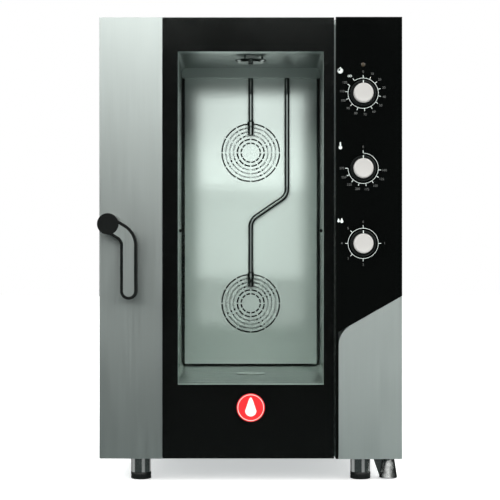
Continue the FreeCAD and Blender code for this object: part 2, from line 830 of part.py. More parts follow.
def knob_cap(name, level):
    """Pale cap on the skirt, narrower towards its face."""
    cap = new_body(f"{name}_knob_cap", x="knob_x", y="front_y - play - skirt_depth", z=level)
    sketch = sketch_on(cap, "XY_Plane")
    polygon(
        sketch,
        [
            ("0", "-cap_depth"),
            ("cap_radius - 3.5", "-cap_depth"),
            ("cap_radius - 1.5", "1.5 - cap_depth"),
            ("cap_radius", "0"),
            ("0", "0"),
        ],
    )
    revolve(cap, sketch, "V_Axis")


def knobs():
    """Three alike, one under the other."""
    for index, name in enumerate(("timer", "thermostat", "humidity")):
        knob_skirt(name, knob_level(index))
        knob_cap(name, knob_level(index))


# ---------------------------------------------------------------- cavity and fans


def cavity_shell():
    """Welded steel liner, open at the front, with a gasket flange and its openings."""
    body = form("liner", y="frame_y + play")
    sketch = sketch_on(body, "XZ_Plane")
    outside = (
        "-wall_x - cavity_sheet",
        "wall_x + cavity_sheet",
        "floor_z - cavity_sheet",
        "ceiling_z + cavity_sheet",
    )
    rectangle(sketch, *outside)
    solid = pad(body, sketch, "chamber_y + cavity_sheet - frame_y - play", backwards=True)
    lengthwise = lambda edge: along(FRONT_TO_BACK, edge)
    rounded = round_edges(body, solid, "cavity_corner + cavity_sheet", lengthwise)
    doc.recompute()
    front = [
        f"Face{index}"
        for index, face in enumerate(rounded.Shape.Faces, start=1)
        if face.Surface.TypeId == "Part::GeomPlane" and face.normalAt(0, 0).y < -0.9
    ]
    hollow = body.newObject("PartDesign::Thickness", "hollow")
    hollow.Base = (rounded, front)
    hollow.Reversed = True
    hollow.Join = "Intersection"
    bind(hollow, Value="cavity_sheet")
    flange = sketch_on(body, "XZ_Plane", "play - gasket_seat")
    rectangle(flange, *outside)
    rectangle(
        flange,
        "-wall_x - mouth - flange_margin",
        "wall_x + mouth + flange_margin",
        "floor_z - mouth - flange_margin",
        "ceiling_z + mouth + flange_margin",
    )
    pad(body, flange, "cavity_sheet", backwards=True)
    back_holes = sketch_on(body, "XZ_Plane", "frame_y + play - chamber_y + 1")
    for fan in ("upper_fan_z", "lower_fan_z"):
        circle(back_holes, "0", fan, "motor_shaft + 5")
        for side in ("-1", "1"):
            circle(back_holes, f"({side}) * element_radius", fan, "element_leg + play")
    pocket(body, back_holes, "cavity_sheet + 10")
    local_y = "- frame_y - play"
    vent = circle(sketch_on(body, "XY_Plane", "ceiling_z"), "0", f"vent_y {local_y}", "vent_radius - 4")
    pocket(body, vent, "3 * cavity_sheet", backwards=True)
    floor = sketch_on(body, "XY_Plane", "floor_z")
    drain = circle(floor, "0", f"drain_y {local_y}", "drain_radius - 2 * drain_wall")
    pocket(body, drain, "3 * cavity_sheet")
    lamp = circle(sketch_on(body, "YZ_Plane", "wall_x"), f"lamp_y {local_y}", "lamp_z", "lens_radius + play")
    pocket(body, lamp, "3 * cavity_sheet", backwards=True)
    reach = "(mouth + flange_margin)"
    columns = (
        (f"-wall_x - {reach}", "cavity_corner - wall_x"),
        ("cavity_corner - wall_x", "wall_x - cavity_corner"),
        ("wall_x - cavity_corner", f"wall_x + {reach}"),
    )
    rows = (
        (f"floor_z - {reach}", "floor_z + cavity_corner"),
        ("floor_z + cavity_corner", "ceiling_z - cavity_corner"),
        ("ceiling_z - cavity_corner", f"ceiling_z + {reach}"),
    )
    sheets = [
        (*across, "frame_y", "chamber_y", *upright)
        for across in columns
        for upright in rows
        if not (across == columns[1] and upright == rows[1])
    ]
    back = (columns[0][0], columns[2][1], "chamber_y", "chamber_y + 2 * cavity_sheet", rows[0][0], rows[2][1])
    welded("cavity_shell", body, [*sheets, back])


def door_gasket():
    """Silicone frame round the cavity's mouth: a flat base with a bead along its inner edge."""
    body = new_body("door_gasket", y="frame_y + gasket_seat")
    for across, clearance in (("gasket_bead", "bead_clearance"), ("gasket_width", "base_clearance")):
        sketch = sketch_on(body, "XZ_Plane")
        for margin in ("cavity_sheet", f"(cavity_sheet + {across})"):
            rectangle(
                sketch,
                f"-wall_x - {margin}",
                f"wall_x + {margin}",
                f"floor_z - {margin}",
                f"ceiling_z + {margin}",
            )
        solid = pad(body, sketch, f"door_gap + gasket_seat - {clearance}")
    round_edges(body, solid, "gasket_width", outer_corner)


def outer_corner(edge):
    """True for the gasket's outermost corner edges."""
    inside = number("wall_x + cavity_sheet + gasket_bead + 1")
    return along(FRONT_TO_BACK, edge) and abs(edge.CenterOfMass.x) > inside


def cavity_insulation():
    """Mineral wool jacket round the liner, cut away for everything that passes through."""
    near = "(cavity_sheet + play)"
    far = "(cavity_sheet + insulation)"
    jacket = block(
        f"-wall_x - {far}",
        f"wall_x + {far}",
        "frame_y + 30",
        f"chamber_y + {far}",
        f"floor_z - {far}",
        f"ceiling_z + {far}",
    )
    room = block(
        f"-wall_x - {near}",
        f"wall_x + {near}",
        "frame_y + 20",
        f"chamber_y + {near}",
        f"floor_z - {near}",
        f"ceiling_z + {near}",
    )
    tools = [
        room,
        rod(Z_AXIS, "0", "vent_y", "ceiling_z", "vent_radius + play", "insulation + 10"),
        rod(Z_AXIS, "0", "drain_y", "floor_z - insulation - 10", "drain_radius + 3", "insulation + 10"),
        rod(X_AXIS, "wall_x", "lamp_y", "lamp_z", "lens_radius + 6", "insulation + 10"),
    ]
    for fan in ("upper_fan_z", "lower_fan_z"):
        tools.append(rod(Y_AXIS, "0", "chamber_y", fan, "motor_radius + 18", "insulation + 10"))
        for side in ("-1", "1"):
            tools.append(rod(Y_AXIS, f"({side}) * element_radius", "chamber_y", fan, "10", "insulation + 10"))
    keep(cut(jacket, *tools), "cavity_insulation")


def slot_tool(fan):
    """Six rings of arc slots round a fan axis, less the bridges between them."""
    sketch = doc.addObject("Sketcher::SketchObject", "slot_rings")
    for index in range(6):
        for edge in ("- slot_width / 2", "+ slot_width / 2"):
            circle(sketch, "0", "0", f"slot_radius + {index} * slot_pitch {edge}")
    sketch.Placement.Rotation = FreeCAD.Rotation(FreeCAD.Vector(1, 0, 0), 90)
    place(sketch, "0", "baffle_y + 5", fan)
    rings = doc.addObject("Part::Extrusion", "slot_ring_tools")
    rings.Base = sketch
    rings.DirMode = "Custom"
    rings.Dir = FreeCAD.Vector(0, -1, 0)
    rings.FaceMakerClass = "Part::FaceMakerBullseye"
    rings.Solid = True
    bind(rings, LengthFwd="10")
    reach = "(slot_radius + 6 * slot_pitch)"
    bridges = []
    for index in range(6):
        bar = doc.addObject("Part::Box", "bridge")
        bind(bar, Length="slot_bridge", Width="12", Height=f"2 * {reach}")
        turn = FreeCAD.Rotation(FRONT_TO_BACK, 30 * index)
        at_corner(bar, turn, "-slot_bridge / 2", f"-{reach}", "baffle_y - 6", fan)
        bridges.append(bar)
    return cut(rings, *bridges)


def air_baffle():
    """Panel between the cooking space and the fans, with a grille of arc slots before each fan."""
    edge = "wall_x - baffle_side_gap"
    low, high = "floor_z + 6", "ceiling_z - 4"
    plate = block(f"-({edge})", edge, "baffle_y", "baffle_y + baffle_sheet", low, high)
    folds = [
        block(f"-({edge})", f"baffle_sheet - ({edge})", "baffle_y", "baffle_y + 16", low, high),
        block(f"{edge} - baffle_sheet", edge, "baffle_y", "baffle_y + 16", low, high),
    ]
    tools = [slot_tool("upper_fan_z"), slot_tool("lower_fan_z")]
    tools += [rod(Y_AXIS, x, "baffle_y - 5", z, "3 + play", "12") for x, z in post_places()]
    keep(cut(fuse(plate, *folds), *tools), "air_baffle")


def post_places():
    """Three fixing points down each side of the baffle."""
    levels = ("floor_z + 30", "(floor_z + ceiling_z) / 2", "ceiling_z - 50")
    return [(f"({side}) * (wall_x - 24)", level) for side in ("-1", "1") for level in levels]


def baffle_screws():
    """Thumb screws through the baffle, each in a post that stands on the back wall."""
    pieces = []
    for x, z in post_places():
        post = rod(Y_AXIS, x, "baffle_y + baffle_sheet", z, "6", "fan_chamber")
        shank = rod(Y_AXIS, x, "baffle_y - 1", z, "3", "3")
        head = rod(Y_AXIS, x, "baffle_y - 7", z, "7", "7")
        pieces.append(fuse(post, shank, head))
    keep(fuse(*pieces), "baffle_screws")


def fan_wheel(label, fan):
    """Wheel with a hub, a slotted face plate on four arms, blades on a back plate, and its shaft."""
    front = "baffle_y + baffle_sheet + fan_gap"
    plate_radius = "(slot_radius + 5 * slot_pitch)"
    disc = cut(
        rod(Y_AXIS, "0", front, fan, plate_radius, "2"),
        rod(Y_AXIS, "0", f"{front} - 2", fan, "slot_radius + 1.2 * slot_pitch", "6"),
    )
    pieces = [
        rod(Y_AXIS, "0", f"{front} - 4", fan, "slot_radius - slot_width", "fan_depth + 4"),
        rod(Y_AXIS, "0", f"{front} + fan_depth - 2", fan, "fan_radius - 6", "2"),
        rod(Y_AXIS, "0", f"{front} - 4", fan, "motor_shaft", "fan_chamber + 36 - fan_gap"),
    ]
    gaps = []
    for quarter in range(4):
        turn = FreeCAD.Rotation(FRONT_TO_BACK, 90 * quarter - 28)
        for shift in (-5.5, 5.5):
            gap = doc.addObject("Part::Box", "fan_slot")
            bind(gap, Length="5", Width="8", Height=f"{plate_radius} - slot_radius + 6")
            at_corner(gap, turn, shift - 2.5, "slot_radius - 4", f"{front} - 3", fan)
            gaps.append(gap)
        arm = doc.addObject("Part::Box", "fan_arm")
        bind(arm, Length="6", Width="2", Height=f"{plate_radius} - 12")
        at_corner(arm, turn, -3, "10", front, fan)
        pieces.append(arm)
    wheel = cut(disc, *gaps)
    pieces.append(wheel)
    for index in range(16):
        blade = doc.addObject("Part::Box", "blade")
        bind(blade, Length="1.5", Width="fan_depth", Height=f"fan_radius - {plate_radius} + 4")
        turn = FreeCAD.Rotation(FRONT_TO_BACK, 22.5 * index + 4)
        at_corner(blade, turn, 0, f"{plate_radius} - 4", front, fan)
        pieces.append(blade)
    keep(fuse(*pieces), label)


def at_corner(item, turn, across, out, y, level):
    """Puts a box's corner beside a radius of the fan, out from the axis."""
    side = turn.multVec(FreeCAD.Vector(1, 0, 0))
    radial = turn.multVec(UPRIGHT)
    item.Placement.Rotation = turn
    place(
        item,
        f"{side.x:.6f} * ({across}) + {radial.x:.6f} * ({out})",
        y,
        f"{level} + {side.z:.6f} * ({across}) + {radial.z:.6f} * ({out})",
    )


def fan_motors():
    """Two motors on flanges behind the back wall; the fan shafts turn in their bores."""
    motors = []
    for fan in ("upper_fan_z", "lower_fan_z"):
        flange = rod(Y_AXIS, "0", "motor_y", fan, "motor_radius + 14", "3")
        case = rod(Y_AXIS, "0", "motor_y + 3", fan, "motor_radius", "motor_length")
        cap = rod(Y_AXIS, "0", "motor_y + 3 + motor_length", fan, "motor_radius - 12", "8")
        bore = rod(Y_AXIS, "0", "motor_y - 1", fan, "motor_shaft + turning_gap", "42")
        motors.append(cut(fuse(flange, case, cap), bore))
    keep(fuse(*motors), "fan_motors")


def heating_elements():
    """Tubular heating rings round each fan, with their legs through the back wall."""
    pieces = []
    for fan in ("upper_fan_z", "lower_fan_z"):
        near = "baffle_y + baffle_sheet + fan_gap + 12"
        rings = [
            ring(Y_AXIS, "0", f"{near} + {shift}", fan, "element_radius", "element_tube")
            for shift in ("0", "element_pitch")
        ]
        start = f"{near} - element_leg"
        legs = [
            rod(Y_AXIS, f"({side}) * element_radius", start, fan, "element_leg", f"motor_y + 24 - ({start})")
            for side in ("-1", "1")
        ]
        pieces.append(fuse(*rings, *legs))
    keep(fuse(*pieces), "heating_elements")


def oven_lamp():
    """Lamp holder outside the right wall with its glass lens inside."""
    holder = rod(X_AXIS, "wall_x + cavity_sheet", "lamp_y", "lamp_z", "lens_radius + 5", "insulation")
    hollow = rod(X_AXIS, "wall_x", "lamp_y", "lamp_z", "lens_radius - 4", "insulation - 4")
    keep(cut(holder, hollow), "oven_lamp")
    lens = rod(X_AXIS, "wall_x - 3", "lamp_y", "lamp_z", "lens_radius", "3 + cavity_sheet")
    dome = rod(X_AXIS, "wall_x - 5", "lamp_y", "lamp_z", "lens_radius - 4", "4")
    keep(fuse(lens, dome), "lamp_lens")


# ---------------------------------------------------------------- water, steam, drain


def nozzle_profile(sketch, tip, top):
    """Half outline of a pipe end: a bore, a nozzle and a collar on the pipe."""
    return polygon(
        sketch,
        [
            ("pipe_radius * 0.4", tip),
            ("pipe_radius", tip),
            ("pipe_radius + 1.3", f"{tip} + 2"),
            ("pipe_radius + 1.3", f"{tip} + 22"),
            ("pipe_radius + 2.5", f"{tip} + 27"),
            ("pipe_radius + 2.5", f"{tip} + 37"),
            ("pipe_radius", f"{tip} + 42"),
            ("pipe_radius", top),
            ("pipe_radius * 0.4", top),
        ],
    )


def upper_injection_pipe():
    """Straight pipe from the ceiling to just above the upper fan's axis."""
    body = new_body("upper_injection_pipe", y="pipe_y")
    tip = "upper_fan_z + nozzle_gap"
    revolve(body, nozzle_profile(sketch_on(body, "XZ_Plane"), tip, "ceiling_z"), "V_Axis")


def bent_path(sketch, corners, radius):
    """Draws straight runs between corners given as expressions, with a tangent arc at each inner corner."""
    spots = [FreeCAD.Vector(number(x), number(y), 0) for x, y in corners]
    size = number(radius)
    runs = [(after - before).normalize() for before, after in zip(spots, spots[1:])]
    starts, ends = [spots[0]], []
    arcs = []
    for index in range(1, len(spots) - 1):
        into, out = runs[index - 1], runs[index]
        half_turn = into.getAngle(out) / 2
        trim = size * math.tan(half_turn)
        first, last = spots[index] - into * trim, spots[index] + out * trim
        inwards = (out - into).normalize()
        middle = spots[index] + inwards * (size / math.cos(half_turn) - size)
        ends.append(first)
        starts.append(last)
        arcs.append((first, middle, last))
    ends.append(spots[-1])
    lines = [sketch.addGeometry(Part.LineSegment(a, b)) for a, b in zip(starts, ends)]
    bends = [sketch.addGeometry(Part.Arc(*arc)) for arc in arcs]
    fix_point(sketch, lines[0], 1, *corners[0])
    fix_point(sketch, lines[-1], 2, *corners[-1])
    for index, bend in enumerate(bends):
        corner = sketch.addGeometry(Part.Point(spots[index + 1]), True)
        fix_point(sketch, corner, 1, *corners[index + 1])
        for line in (lines[index], lines[index + 1]):
            sketch.addConstraint(Sketcher.Constraint("PointOnObject", corner, 1, line))
        joins = [(end, sketch.getPoint(bend, end)) for end in (1, 2)]
        near_first = min(joins, key=lambda join: join[1].distanceToPoint(ends[index]))[0]
        sketch.addConstraint(Sketcher.Constraint("Tangent", lines[index], 2, bend, near_first))
        sketch.addConstraint(Sketcher.Constraint("Tangent", lines[index + 1], 1, bend, 3 - near_first))
        held = sketch.addConstraint(Sketcher.Constraint("Radius", bend, size))
        sketch.setExpression(f"Constraints[{held}]", linked(radius))
    return sketch


def sweep(body, profile, path):
    """Carries a profile along a path sketch."""
    doc.recompute()
    tube = body.newObject("PartDesign::AdditivePipe", "tube")
    tube.Profile = profile
    tube.Spine = (path, [f"Edge{index}" for index in range(1, len(path.Shape.Edges) + 1)])
    return tube


def lower_injection_pipe():
    """Pipe that comes down beside the upper fan and bends to the middle above the lower one."""
    body = new_body("lower_injection_pipe", y="pipe_y")
    tip = "lower_fan_z + nozzle_gap"
    path = bent_path(
        sketch_on(body, "XZ_Plane"),
        [
            ("pipe_offset", "ceiling_z"),
            ("pipe_offset", "base_z + bend_rise"),
            ("0", "base_z + bend_rise - bend_drop"),
            ("0", f"{tip} + 60"),
        ],
        "pipe_bend",
    )
    sweep(body, circle(sketch_on(body, "XY_Plane", "ceiling_z"), "pipe_offset", "0", "pipe_radius"), path)
    revolve(body, nozzle_profile(sketch_on(body, "XZ_Plane"), tip, f"{tip} + 61"), "V_Axis")


def pipe_cover():
    """Folded strip under the ceiling that hides where the pipes come in."""
    body = new_body("pipe_cover", x="play - wall_x")
    profile = sketch_on(body, "YZ_Plane")
    front = "baffle_y - cover_depth"
    low = "ceiling_z - cover_height"
    polygon(
        profile,
        [
            (front, "ceiling_z"),
            (front, low),
            ("baffle_y", low),
            ("baffle_y", f"{low} + casing_sheet"),
            (f"{front} + casing_sheet", f"{low} + casing_sheet"),
            (f"{front} + casing_sheet", "ceiling_z"),
        ],
    )
    strip = pad(body, profile, "2 * (wall_x - play)")
    round_edges(
        body,
        strip,
        "cavity_corner",
        lambda edge: along(FRONT_TO_BACK, edge)
        and edge.CenterOfMass.z > number("ceiling_z - 1")
        and edge.Length < number("casing_sheet + 1"),
    )
    holes = sketch_on(body, "XY_Plane", f"{low} - 2")
    for x in ("wall_x - play", "wall_x - play + pipe_offset"):
        circle(holes, x, "pipe_y", "pipe_radius + play")
    pocket(body, holes, "6", backwards=True)


def vent_deflector():
    """Shallow dish on three posts below the vent, so that drips don't fall on the food."""
    body = new_body("vent_deflector", y="vent_y", z="ceiling_z - dish_drop")
    profile = sketch_on(body, "XZ_Plane")
    polygon(
        profile,
        [
            ("0", "-2"),
            ("dish_radius - 6", "-2"),
            ("dish_radius", "3"),
            ("dish_radius", "5"),
            ("dish_radius - 1.5", "5"),
            ("dish_radius - 6.6", "0"),
            ("0", "0"),
        ],
    )
    revolve(body, profile, "V_Axis")
    stay = circle(sketch_on(body, "XY_Plane", "-1"), "vent_radius + 5", "0", "2.5")
    post = pad(body, stay, "dish_drop + 1")
    pattern(body, post, "PolarPattern", body.Origin.OriginFeatures[2], "", 3)


def vent_pipe():
    """Tube from the ceiling to the top cover."""
    body = new_body("vent_pipe", y="vent_y", z="ceiling_z + cavity_sheet")
    sketch = sketch_on(body, "XY_Plane")
    circle(sketch, "0", "0", "vent_radius")
    circle(sketch, "0", "0", "vent_radius - 1.5")
    pad(body, sketch, "top_z - ceiling_z - cavity_sheet")


def drain_strainer():
    """Perforated cup in the cavity's floor drain."""
    body = new_body("drain_strainer", y="drain_y", z="floor_z")
    profile = sketch_on(body, "XZ_Plane")
    polygon(
        profile,
        [
            ("0", "-8"),
            ("drain_radius - 2 * drain_wall - 1", "-8"),
            ("drain_radius - 2 * drain_wall - 1", "0"),
            ("drain_radius + 18", "0"),
            ("drain_radius + 18", "1.5"),
            ("0", "1.5"),
        ],
    )
    revolve(body, profile, "V_Axis")
    slot = sketch_on(body, "XY_Plane", "1.5")
    rectangle(slot, "6", "drain_radius - 2 * drain_wall - 3", "-1.2", "1.2")
    opening = pocket(body, slot, "12")
    pattern(body, opening, "PolarPattern", body.Origin.OriginFeatures[2], "", 8)


def drain_pipe():
    """Pipe from the sump, down through the insulation and out at the back."""
    body = new_body("drain_pipe")
    path = bent_path(
        sketch_on(body, "YZ_Plane"),
        [
            ("drain_y", "floor_z - cavity_sheet"),
            ("drain_y", "drain_z"),
            ("rear_y + pipe_stub", "drain_z"),
        ],
        "drain_bend",
    )
    bore = "drain_radius - 2 * drain_wall"
    profile = sketch_on(body, "XY_Plane", "floor_z - cavity_sheet")
    circle(profile, "0", "drain_y", "drain_radius - drain_wall")
    circle(profile, "0", "drain_y", bore)
    sweep(body, profile, path)
    for start, radius, length in (
        ("rear_y", "drain_radius + 3", "drain_shoulder"),
        ("rear_y + drain_shoulder", "drain_radius", "pipe_stub - drain_shoulder"),
    ):
        collar = sketch_on(body, "XZ_Plane", f"-({start})")
        circle(collar, "0", "drain_z", radius)
        circle(collar, "0", "drain_z", bore)
        pad(body, collar, length, backwards=True)


def inlet_valve():
    """Water inlet thread on the rear panel with its solenoid valve inside."""
    axis = {"turn": Y_AXIS, "x": "inlet_x", "z": "inlet_z"}
    thread = rod(**axis, y="rear_y - 12", radius="inlet_radius", length="12 + pipe_stub")
    flange = rod(**axis, y="rear_y", radius="inlet_radius + 5", length="inlet_flange")
    bore = rod(**axis, y="rear_y", radius="inlet_radius - 4", length="pipe_stub + 1")
    nut_back = "rear_y - casing_sheet - nut_depth"
    nut = rod(**axis, y=nut_back, radius="inlet_radius + 5", length="nut_depth")
    front, back = "rear_y - casing_sheet - valve_depth", "rear_y - casing_sheet - 4.5"
    side, top = "valve_width / 2", "inlet_z + valve_height / 2"
    low = "inlet_z - valve_height / 2"
    case = block(f"inlet_x - {side}", f"inlet_x + {side}", front, back, low, top)
    coil_side = "(coil_width / 2)"
    coil_span = (f"{front} + 8", f"{front} + 8 + coil_height")
    coil = block(f"inlet_x - {coil_side}", f"inlet_x + {coil_side}", *coil_span, top, f"{top} + coil_height")
    outlet = rod(**axis, y=f"{front} - 20", radius="8", length="22")
    keep(cut(fuse(nut, case, coil, outlet, thread, flange), bore), "inlet_valve")


def cable_gland():
    """Gland for the mains cable, clamped in the rear panel."""
    axis = {"turn": Y_AXIS, "x": "gland_x", "z": "gland_z"}
    inside = "rear_y - casing_sheet"
    neck_length = "casing_sheet + 2 * nut_depth + 1"
    nut = rod(**axis, y=f"{inside} - nut_depth", radius="gland_radius", length="nut_depth")
    neck = rod(**axis, y=f"{inside} - 2 * nut_depth", radius="gland_radius - 2", length=neck_length)
    flange = rod(**axis, y="rear_y", radius="gland_radius + 2", length="gland_flange")
    tip = {"radius1": "gland_radius", "radius2": "gland_radius - 3"}
    dome = cone(**axis, **tip, y="rear_y + gland_flange", length="pipe_stub - gland_flange - 1")
    hole = rod(**axis, y="rear_y - 30", radius="cable_hole", length="60")
    keep(cut(fuse(nut, neck, flange, dome), hole), "cable_gland")


def terminal_block():
    """Mains terminals on a rail that is fixed to the right side panel."""
    side = "half - casing_sheet"
    front, back = "rear_y - terminal_setback - 10", "rear_y - terminal_setback + 5 * pole_pitch + 10"
    rail = block(f"{side} - 8", side, front, back, "gland_z - 10", "gland_z + 10")
    poles = []
    for index in range(5):
        near = f"rear_y - terminal_setback + {index} * pole_pitch"
        span = (near, f"{near} + pole_pitch - 2", "gland_z - 24", "gland_z + 24")
        poles.append(block(f"{side} - 42", f"{side} - 7", *span))
    keep(fuse(rail, *poles), "terminal_block")


# ---------------------------------------------------------------- door


def door_frame():
    """Folded steel frame of the door, with the bushes for the hinge pins and the latch spindle."""
    body = new_body("door_frame", y="glass_back")
    depth = "door_thickness - glass_thickness - border_thickness"
    left, right = "column_sheet + 3.8 - half", "door_right"
    low, high = "base_z + 8", "top_z - 8"
    half_window = "window_width / 2"
    solid = rectangle(sketch_on(body, "XZ_Plane"), left, right, low, high)
    pad(body, solid, depth, backwards=True)
    hollow = sketch_on(body, "XZ_Plane")
    rectangle(
        hollow,
        f"{left} + door_sheet",
        f"{right} - door_sheet",
        f"{low} + door_sheet",
        f"{high} - door_sheet",
    )
    rectangle(
        hollow,
        f"-{half_window} - door_sheet",
        f"{half_window} + door_sheet",
        "window_low - door_sheet",
        "window_high + door_sheet",
    )
    pocket(body, hollow, f"{depth} - inner_skin")
    rebate_edges = sketch_on(body, "XZ_Plane", f"-({depth})")
    rectangle(
        rebate_edges,
        f"-{half_window} - rebate",
        f"{half_window} + rebate",
        "window_low - rebate",
        "window_high + rebate",
    )
    pocket(body, rebate_edges, "glass_thickness + play", backwards=True)
    window = sketch_on(body, "XZ_Plane")
    pocket(body, rectangle(window, f"-{half_window}", half_window, "window_low", "window_high"))
    bush = circle(sketch_on(body, "XZ_Plane"), "handle_x", "handle_z", "spindle_radius + 6")
    pad(body, bush, depth, backwards=True)
    hole = circle(sketch_on(body, "XZ_Plane"), "handle_x", "handle_z", "spindle_radius + turning_gap")
    pocket(body, hole)
    relief = sketch_on(body, "XY_Plane", high)
    polygon(
        relief,
        [
            ("door_right - relief_width", depth),
            ("door_right", f"{depth} - relief_depth"),
            ("door_right + play", f"{depth} - relief_depth"),
            ("door_right + play", f"{depth} + play"),
            ("door_right - relief_width", f"{depth} + play"),
        ],
    )
    pocket(body, relief)
    local_hinge = "hinge_y - glass_back"
    for level in (low, f"{high} - 22"):
        block_sketch = sketch_on(body, "XY_Plane", level)
        rectangle(block_sketch, "hinge_x - 14", "door_right", "0", f"{local_hinge} + 12")
        pad(body, block_sketch, "22")
    bores = circle(sketch_on(body, "XY_Plane"), "hinge_x", local_hinge, "pin_radius + turning_gap")
    pocket(body, bores)


def door_left_column():
    """Folded steel cover on the handle side of the door."""
    body = new_body("door_left_column", z="base_z + 1")
    right = "glass_x - play"
    profile = [
        ("-half", "front_y"),
        (right, "front_y"),
        (right, "glass_back"),
        (f"{right} - column_sheet", "glass_back"),
        (f"{right} - column_sheet", "front_y + column_sheet"),
        ("column_sheet - half", "front_y + column_sheet"),
        ("column_sheet - half", "door_back - 2"),
        ("-half", "door_back - 2"),
    ]
    pad(body, polygon(sketch_on(body, "XY_Plane"), profile), "body_height - 2")
    hole = sketch_on(body, "XZ_Plane", "-front_y")
    circle(hole, "handle_x", "handle_rise - 1", "spindle_radius + 2")
    pocket(body, hole, "column_sheet + 1")


def door_glass():
    """Outer pane, its black border, and the inner pane in the door frame's rebate."""
    outer = new_body("door_outer_glass", y="front_y")
    edges = ("glass_x", "door_right", "base_z + 1", "top_z - 1")
    pad(outer, rectangle(sketch_on(outer, "XZ_Plane"), *edges), "glass_thickness", backwards=True)
    border = new_body("glass_border", y="front_y + glass_thickness")
    sketch = sketch_on(border, "XZ_Plane")
    rectangle(sketch, *edges)
    rectangle(sketch, "-window_width / 2", "window_width / 2", "window_low", "window_high")
    pad(border, sketch, "border_thickness", backwards=True)
    inner = new_body("inner_glass", y="door_back - glass_thickness")
    reach = "window_width / 2 + rebate - play"
    pane = sketch_on(inner, "XZ_Plane")
    rectangle(pane, f"-({reach})", reach, "window_low - rebate + play", "window_high + rebate - play")
    pad(inner, pane, "glass_thickness", backwards=True)


def inner_glass_clips():
    """Two studs at half height that hold the inner pane in its rebate."""
    pieces = []
    for side in ("-1", "1"):
        centre = f"({side}) * (window_width / 2 - 5)"
        level = "(window_low + window_high) / 2 - 30"
        pieces.append(rod(Y_AXIS, centre, "door_back - glass_thickness - 6", level, "4", "6"))
    keep(fuse(*pieces), "inner_glass_clips")


def door_badge():
    """Plain round enamel badge on the glass."""
    body = new_body("door_badge", y="front_y", z="base_z + badge_rise")
    plate = pad(body, circle(sketch_on(body, "XZ_Plane"), "0", "0", "badge_radius"), "1.5")
    round_edges(body, plate, "0.7", lambda edge: edge.CenterOfMass.y < -1)


# ---------------------------------------------------------------- handle


def lever_outline(sketch, half_width, trim="0"):
    """Bent strip from the boss axis down to the grip's end, with its corners still sharp."""
    up_x, up_z = f"lever_sin * ({half_width})", f"lever_cos * ({half_width})"
    outer, inner = f"lever_run + ({half_width})", f"lever_run - ({half_width})"
    slope = "lever_sin / lever_cos"
    foot = f"-lever_length - ({half_width})"
    return polygon(
        sketch,
        [
            (up_x, up_z),
            (outer, f"{up_z} - ({outer} - {up_x}) * {slope}"),
            (outer, foot),
            (inner, foot),
            (inner, f"-({up_z}) - ({inner} + {up_x}) * {slope}"),
            (f"-({up_x})", f"-({up_z})"),
        ],
    )


def round_lever(body, feature, half_width):
    """Rounds the bend and the free end of a lever outline."""
    outer = f"lever_run + ({half_width})"
    inner = f"lever_run - ({half_width})"
    end_low = number(f"-lever_length - ({half_width})")

    def upright_edge(edge, x, at_end):
        centre = edge.CenterOfMass
        at_x = abs(centre.x - number(x)) < 0.5
        return along(FRONT_TO_BACK, edge) and at_x and (abs(centre.z - end_low) < 0.5) == at_end

    at_bend = lambda edge: upright_edge(edge, outer, False)
    at_knee = lambda edge: upright_edge(edge, inner, False)
    bend = round_edges(body, feature, f"lever_bend + ({half_width})", at_bend)
    knee = round_edges(body, bend, f"lever_bend - ({half_width})", at_knee)
    return round_edges(
        body,
        knee,
        f"({half_width}) - 0.05",
        lambda edge: upright_edge(edge, outer, True) or upright_edge(edge, inner, True),
    )


def handle_lever():
    """Black lever and round boss; the boss stands on the door and the grip leaves room for fingers."""
    body = new_body("handle_lever", x="handle_x", y="front_y - handle_reach", z="handle_z")
    outline = lever_outline(sketch_on(body, "XZ_Plane", "-inlay_thickness"), "lever_width / 2")
    strip = pad(body, outline, "lever_depth", backwards=True)
    round_lever(body, strip, "lever_width / 2")
    boss = circle(sketch_on(body, "XZ_Plane"), "0", "0", "boss_radius")
    pad(body, boss, "handle_reach - 18", backwards=True)
    neck = circle(sketch_on(body, "XZ_Plane", "-handle_reach + 20"), "0", "0", "boss_radius - 8")
    pad(body, neck, "20 - play", backwards=True)
    socket = circle(sketch_on(body, "XZ_Plane", "-handle_reach + 30"), "0", "0", "spindle_radius")
    pocket(body, socket, "40")


def handle_inlay():
    """Steel strip on the front of the lever."""
    body = new_body("handle_inlay", x="handle_x", y="front_y - handle_reach", z="handle_z")
    outline = lever_outline(sketch_on(body, "XZ_Plane"), "inlay_width / 2")
    strip = pad(body, outline, "inlay_thickness", backwards=True)
    round_lever(body, strip, "inlay_width / 2")
    pocket(body, circle(sketch_on(body, "XZ_Plane"), "0", "0", "boss_radius + play"), "inlay_thickness")


def latch_spindle():
    """Round spindle through the door with the latch hook at its inner end."""
    body = new_body("latch_spindle", x="handle_x", z="handle_z")
    rod_start = "front_y - 30"
    hook_y = "frame_y + casing_sheet + striker_plate + 1"
    spindle = circle(sketch_on(body, "XZ_Plane", f"-({rod_start})"), "0", "0", "spindle_radius")
    pad(body, spindle, f"{hook_y} + hook_plate - ({rod_start})", backwards=True)
    hook = sketch_on(body, "XZ_Plane", f"-({hook_y})")
    tip_x, tip_z = "cos(15) * hook_length", "sin(15) * hook_length"
    side_x, side_z = "sin(15) * hook_width / 2", "cos(15) * hook_width / 2"
    polygon(
        hook,
        [
            (side_x, f"-{side_z}"),
            (f"{tip_x} + {side_x}", f"{tip_z} - {side_z}"),
            (f"{tip_x} - {side_x}", f"{tip_z} + {side_z}"),
            (f"-{side_x}", side_z),
        ],
    )
    pad(body, hook, "hook_plate", backwards=True)


# ---------------------------------------------------------------- feet and small parts


